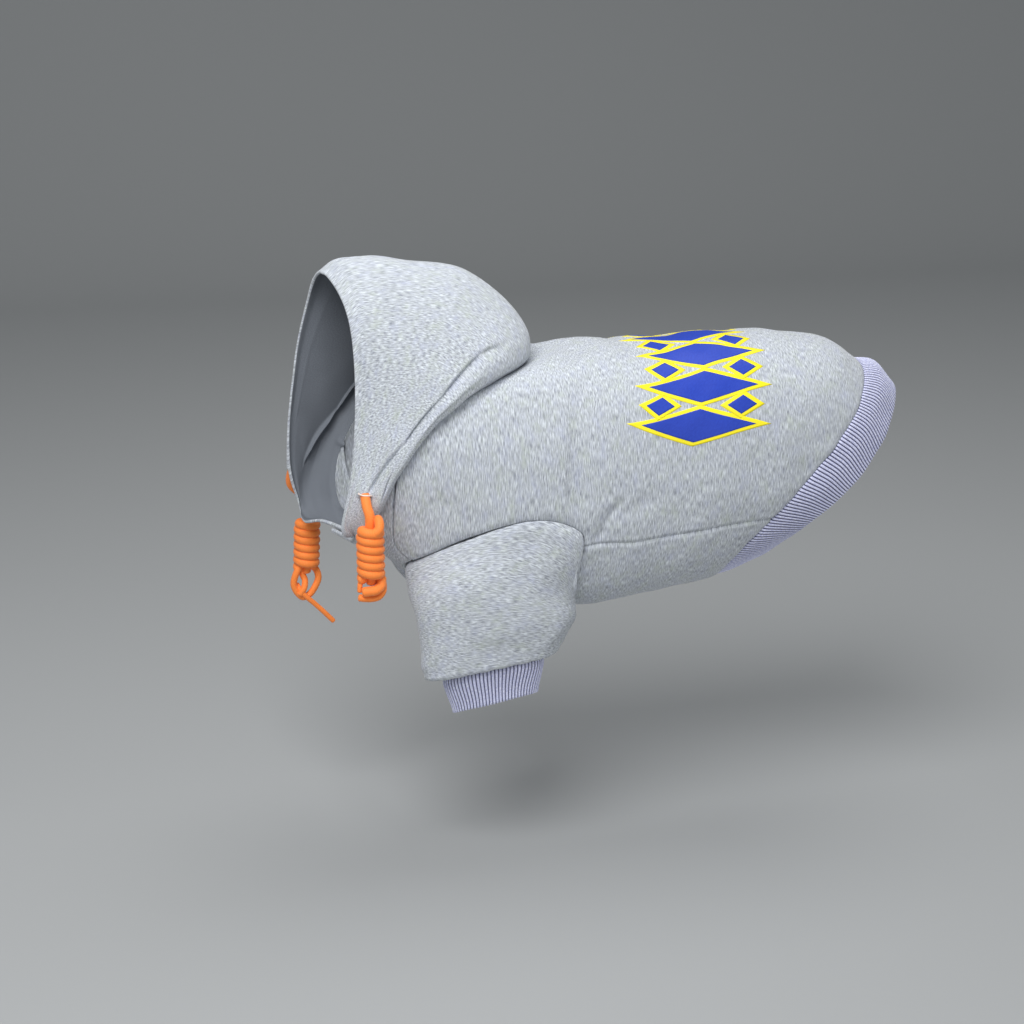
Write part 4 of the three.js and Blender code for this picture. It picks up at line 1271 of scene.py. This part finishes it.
class HOODIE_OT_hood(bpy.types.Operator):
    """The hood's two halves, sewn along the ridge and lapped at the throat"""

    bl_idname = "hoodie.hood"
    bl_label = "Hood"

    def execute(self, context):
        """Each half is a grid from the ridge to just past the throat. Its wall is laid off
        along the evened way out, so that it doesn't fold over in the roll at the neck. At
        the neck seam it takes the body's way out and rise, so the two walls meet."""
        form = Form(context.scene.hoodie_sizes)
        material = material_of("fleece", lambda: fleece_material(colours(context.scene)))
        lining = material_of("lining", lambda: shaded_lining_material(colours(context.scene)))
        at = np.linspace(0, 1, 133)[:, None] ** 1.12
        angle = np.linspace(0.08, 180 + LAP, 191)[None, :]
        for name, side in (("left", 1), ("right", -1)):
            turn = angle * side
            base = form.hood(at, turn)
            seam = 1 - smooth(0, 0.07, at)[..., None]
            neck_out = outward(form.body, np.zeros_like(at), turn, 1)
            out = evened(form.hood, at, turn, -1, 0.32, 10)
            out = unit(out + seam * (neck_out - out))
            rise = form.hood_rise(at, turn, side)[..., None]
            tucked = smooth(140, 160, angle)[..., None] * (side < 0)
            rise = rise + seam * (1 - tucked) * (form.body_rise(0 * at, turn)[..., None] - rise)
            wall = form.size["hood_cloth"]
            outer = base + out * rise
            inner = base + out * (np.clip(rise, None, 0.6) - wall)
            length = form.size["hood_length"]
            uv = np.stack(
                np.broadcast_arrays(angle * form.hood_metric[1] * 1.2 * side, at * length * 1.15), -1
            )
            bulge = np.where((at > 0.97) | (angle > 180 + LAP - 1.2), 1.0, 0.2)
            piece = cloth(f"hood_{name}_fleece", outer, inner, uv, material, lining, bulge=bulge)
            place(piece, "fleece", f"hood_{name}")
            sheet(base)
        return {"FINISHED"}


class HOODIE_OT_sleeves(bpy.types.Operator):
    """Two short sleeves that swell over their cuffs"""

    bl_idname = "hoodie.sleeves"
    bl_label = "Sleeves"

    def execute(self, context):
        """Each sleeve is a grid of places down it and turns round it."""
        form = Form(context.scene.hoodie_sizes)
        material = material_of("fleece", lambda: fleece_material(colours(context.scene)))
        at = np.linspace(0, 1, 81)[:, None]
        turn = (np.arange(210) / 210 * 360)[None, :]
        for name, side in (("left", 1), ("right", -1)):
            surface = lambda a, t, side=side: form.sleeve(a, t, side)
            base = surface(at, turn)
            out = outward(surface, at, turn, -side)
            even = evened(surface, at, turn, -side, 0.05, 4)
            rise = form.sleeve_rise(at, turn, side)[..., None]
            outer = base + out * rise
            inner = base + even * (np.clip(rise, -1.0, 0.3) - form.fleece)
            round_mm = np.linspace(0, 1, 211)[None, :] * form.size["sleeve_width"] * 2.4
            uv = np.stack(np.broadcast_arrays(at * form.size["sleeve_length"], round_mm), -1)
            tilt = math.radians(12)
            uv = np.stack(
                [
                    uv[..., 0] * math.cos(tilt) - uv[..., 1] * math.sin(tilt),
                    uv[..., 0] * math.sin(tilt) + uv[..., 1] * math.cos(tilt),
                ],
                -1,
            )
            piece = cloth(
                f"sleeve_{name}_fleece", outer, inner, uv, material, wraps=True, bulge=0.3
            )
            place(piece, "fleece", f"{name}_sleeve")
            sheet(base, wraps=True)
        return {"FINISHED"}


class HOODIE_OT_ribbing(bpy.types.Operator):
    """The hem band and the two cuffs, with every knitted rib in the mesh"""

    bl_idname = "hoodie.ribbing"
    bl_label = "Ribbed bands"

    def execute(self, context):
        """Each band is a grid whose columns stand at equal lengths round it, eight to a
        rib. A rib's section is the root of a half sine wave: a round ridge between narrow
        grooves."""
        form = Form(context.scene.hoodie_sizes)
        material = material_of("rib", lambda: rib_material(colours(context.scene)))
        slanted = lambda a, t: form.band(a, t + 8.5 * np.sin(np.radians(t)) * a)
        piece, grid = self.ribbed(
            form, "hem_ribbing", slanted, 1, 20, form.size["hem_rib"], material
        )
        place(piece, "rib", "hem_band")
        sheet(grid, wraps=True)
        for name, side in (("left", 1), ("right", -1)):
            surface = lambda a, t, side=side: form.cuff(a, t, side)
            piece, grid = self.ribbed(
                form, f"cuff_{name}_ribbing", surface, -side, 17, form.size["cuff_rib"], material, 0.85
            )
            place(piece, "rib", f"{name}_cuff")
            sheet(grid, wraps=True)
        return {"FINISHED"}

    def ribbed(self, form, name, surface, hand, rows, length, material, shade=1.0):
        """One ribbed band round a closed surface, with a rounded free edge. The shade is how
        dark the painted shade in its grooves gets: less where the ribs are pulled open."""
        _, girth = even_turns(surface, 0.5, 8)
        ribs = round(girth / form.size["rib_pitch"])
        turn, _ = even_turns(surface, 0.5, ribs * 8)
        at = np.linspace(0, 1, rows)[:, None]
        base = surface(at, turn[None, :])
        out = outward(surface, at, turn[None, :], hand)
        ridge = np.sin(math.pi * ((np.arange(ribs * 8) % 8) / 8)) ** 0.7
        down = at * length
        depth = form.size["rib_depth"] * (0.35 + 0.65 * smooth(0, 3, down))
        rise = -depth * (1 - ridge)[None, :] - 1.0 * bell(down, 1.5)
        rise = rise + ripples(base, 30, 0.5, 31)
        wall = form.size["rib_cloth"]
        outer = base + out * rise[..., None]
        inner = base - out * wall
        round_mm = np.linspace(0, girth, ribs * 8 + 1)[None, :]
        uv = np.stack(np.broadcast_arrays(round_mm, down), -1)
        # Painted shade in the grooves, strongest at their bottoms.
        groove = np.broadcast_to(shade * (1 - ridge), rise.shape)
        bulge = np.where(np.broadcast_to(at > 0.97, rise.shape), 1.0, 0.2)
        piece = cloth(name, outer, inner, uv, material, wraps=True, bulge=bulge, groove=groove)
        return piece, base


class HOODIE_PT_panel(bpy.types.Panel):
    """Sizes, colours and steps of the hoodie"""

    bl_idname = "HOODIE_PT_panel"
    bl_label = "Hoodie"
    bl_space_type = "VIEW_3D"
    bl_region_type = "UI"
    bl_category = "Hoodie"

    def draw(self, context):
        """Lists the settings, then a button for each step."""
        for name in LENGTHS:
            self.layout.prop(context.scene.hoodie_sizes, name)
        for name in LOOKS:
            self.layout.prop(context.scene.hoodie_looks, name)
        for step in STEPS:
            self.layout.operator(step.bl_idname)


STEPS = (
    HOODIE_OT_stage,
    HOODIE_OT_cords,
    HOODIE_OT_trunk,
    HOODIE_OT_print,
    HOODIE_OT_hood,
    HOODIE_OT_sleeves,
    HOODIE_OT_ribbing,
)
CLASSES = (HoodieSizes, HoodieLooks, *STEPS, HOODIE_PT_panel)


def register():
    """Adds the classes and their settings to Blender."""
    for cls in CLASSES:
        bpy.utils.register_class(cls)
    bpy.types.Scene.hoodie_sizes = bpy.props.PointerProperty(type=HoodieSizes)
    bpy.types.Scene.hoodie_looks = bpy.props.PointerProperty(type=HoodieLooks)


def unregister():
    """Takes the settings and classes out of Blender again."""
    del bpy.types.Scene.hoodie_looks
    del bpy.types.Scene.hoodie_sizes
    for cls in reversed(CLASSES):
        bpy.utils.unregister_class(cls)


def main():
    """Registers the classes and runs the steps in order."""
    register()
    bpy.ops.hoodie.stage()
    bpy.ops.hoodie.cords()
    bpy.ops.hoodie.trunk()
    bpy.ops.hoodie.print()
    bpy.ops.hoodie.hood()
    bpy.ops.hoodie.sleeves()
    bpy.ops.hoodie.ribbing()


if __name__ == "__main__":
    main()
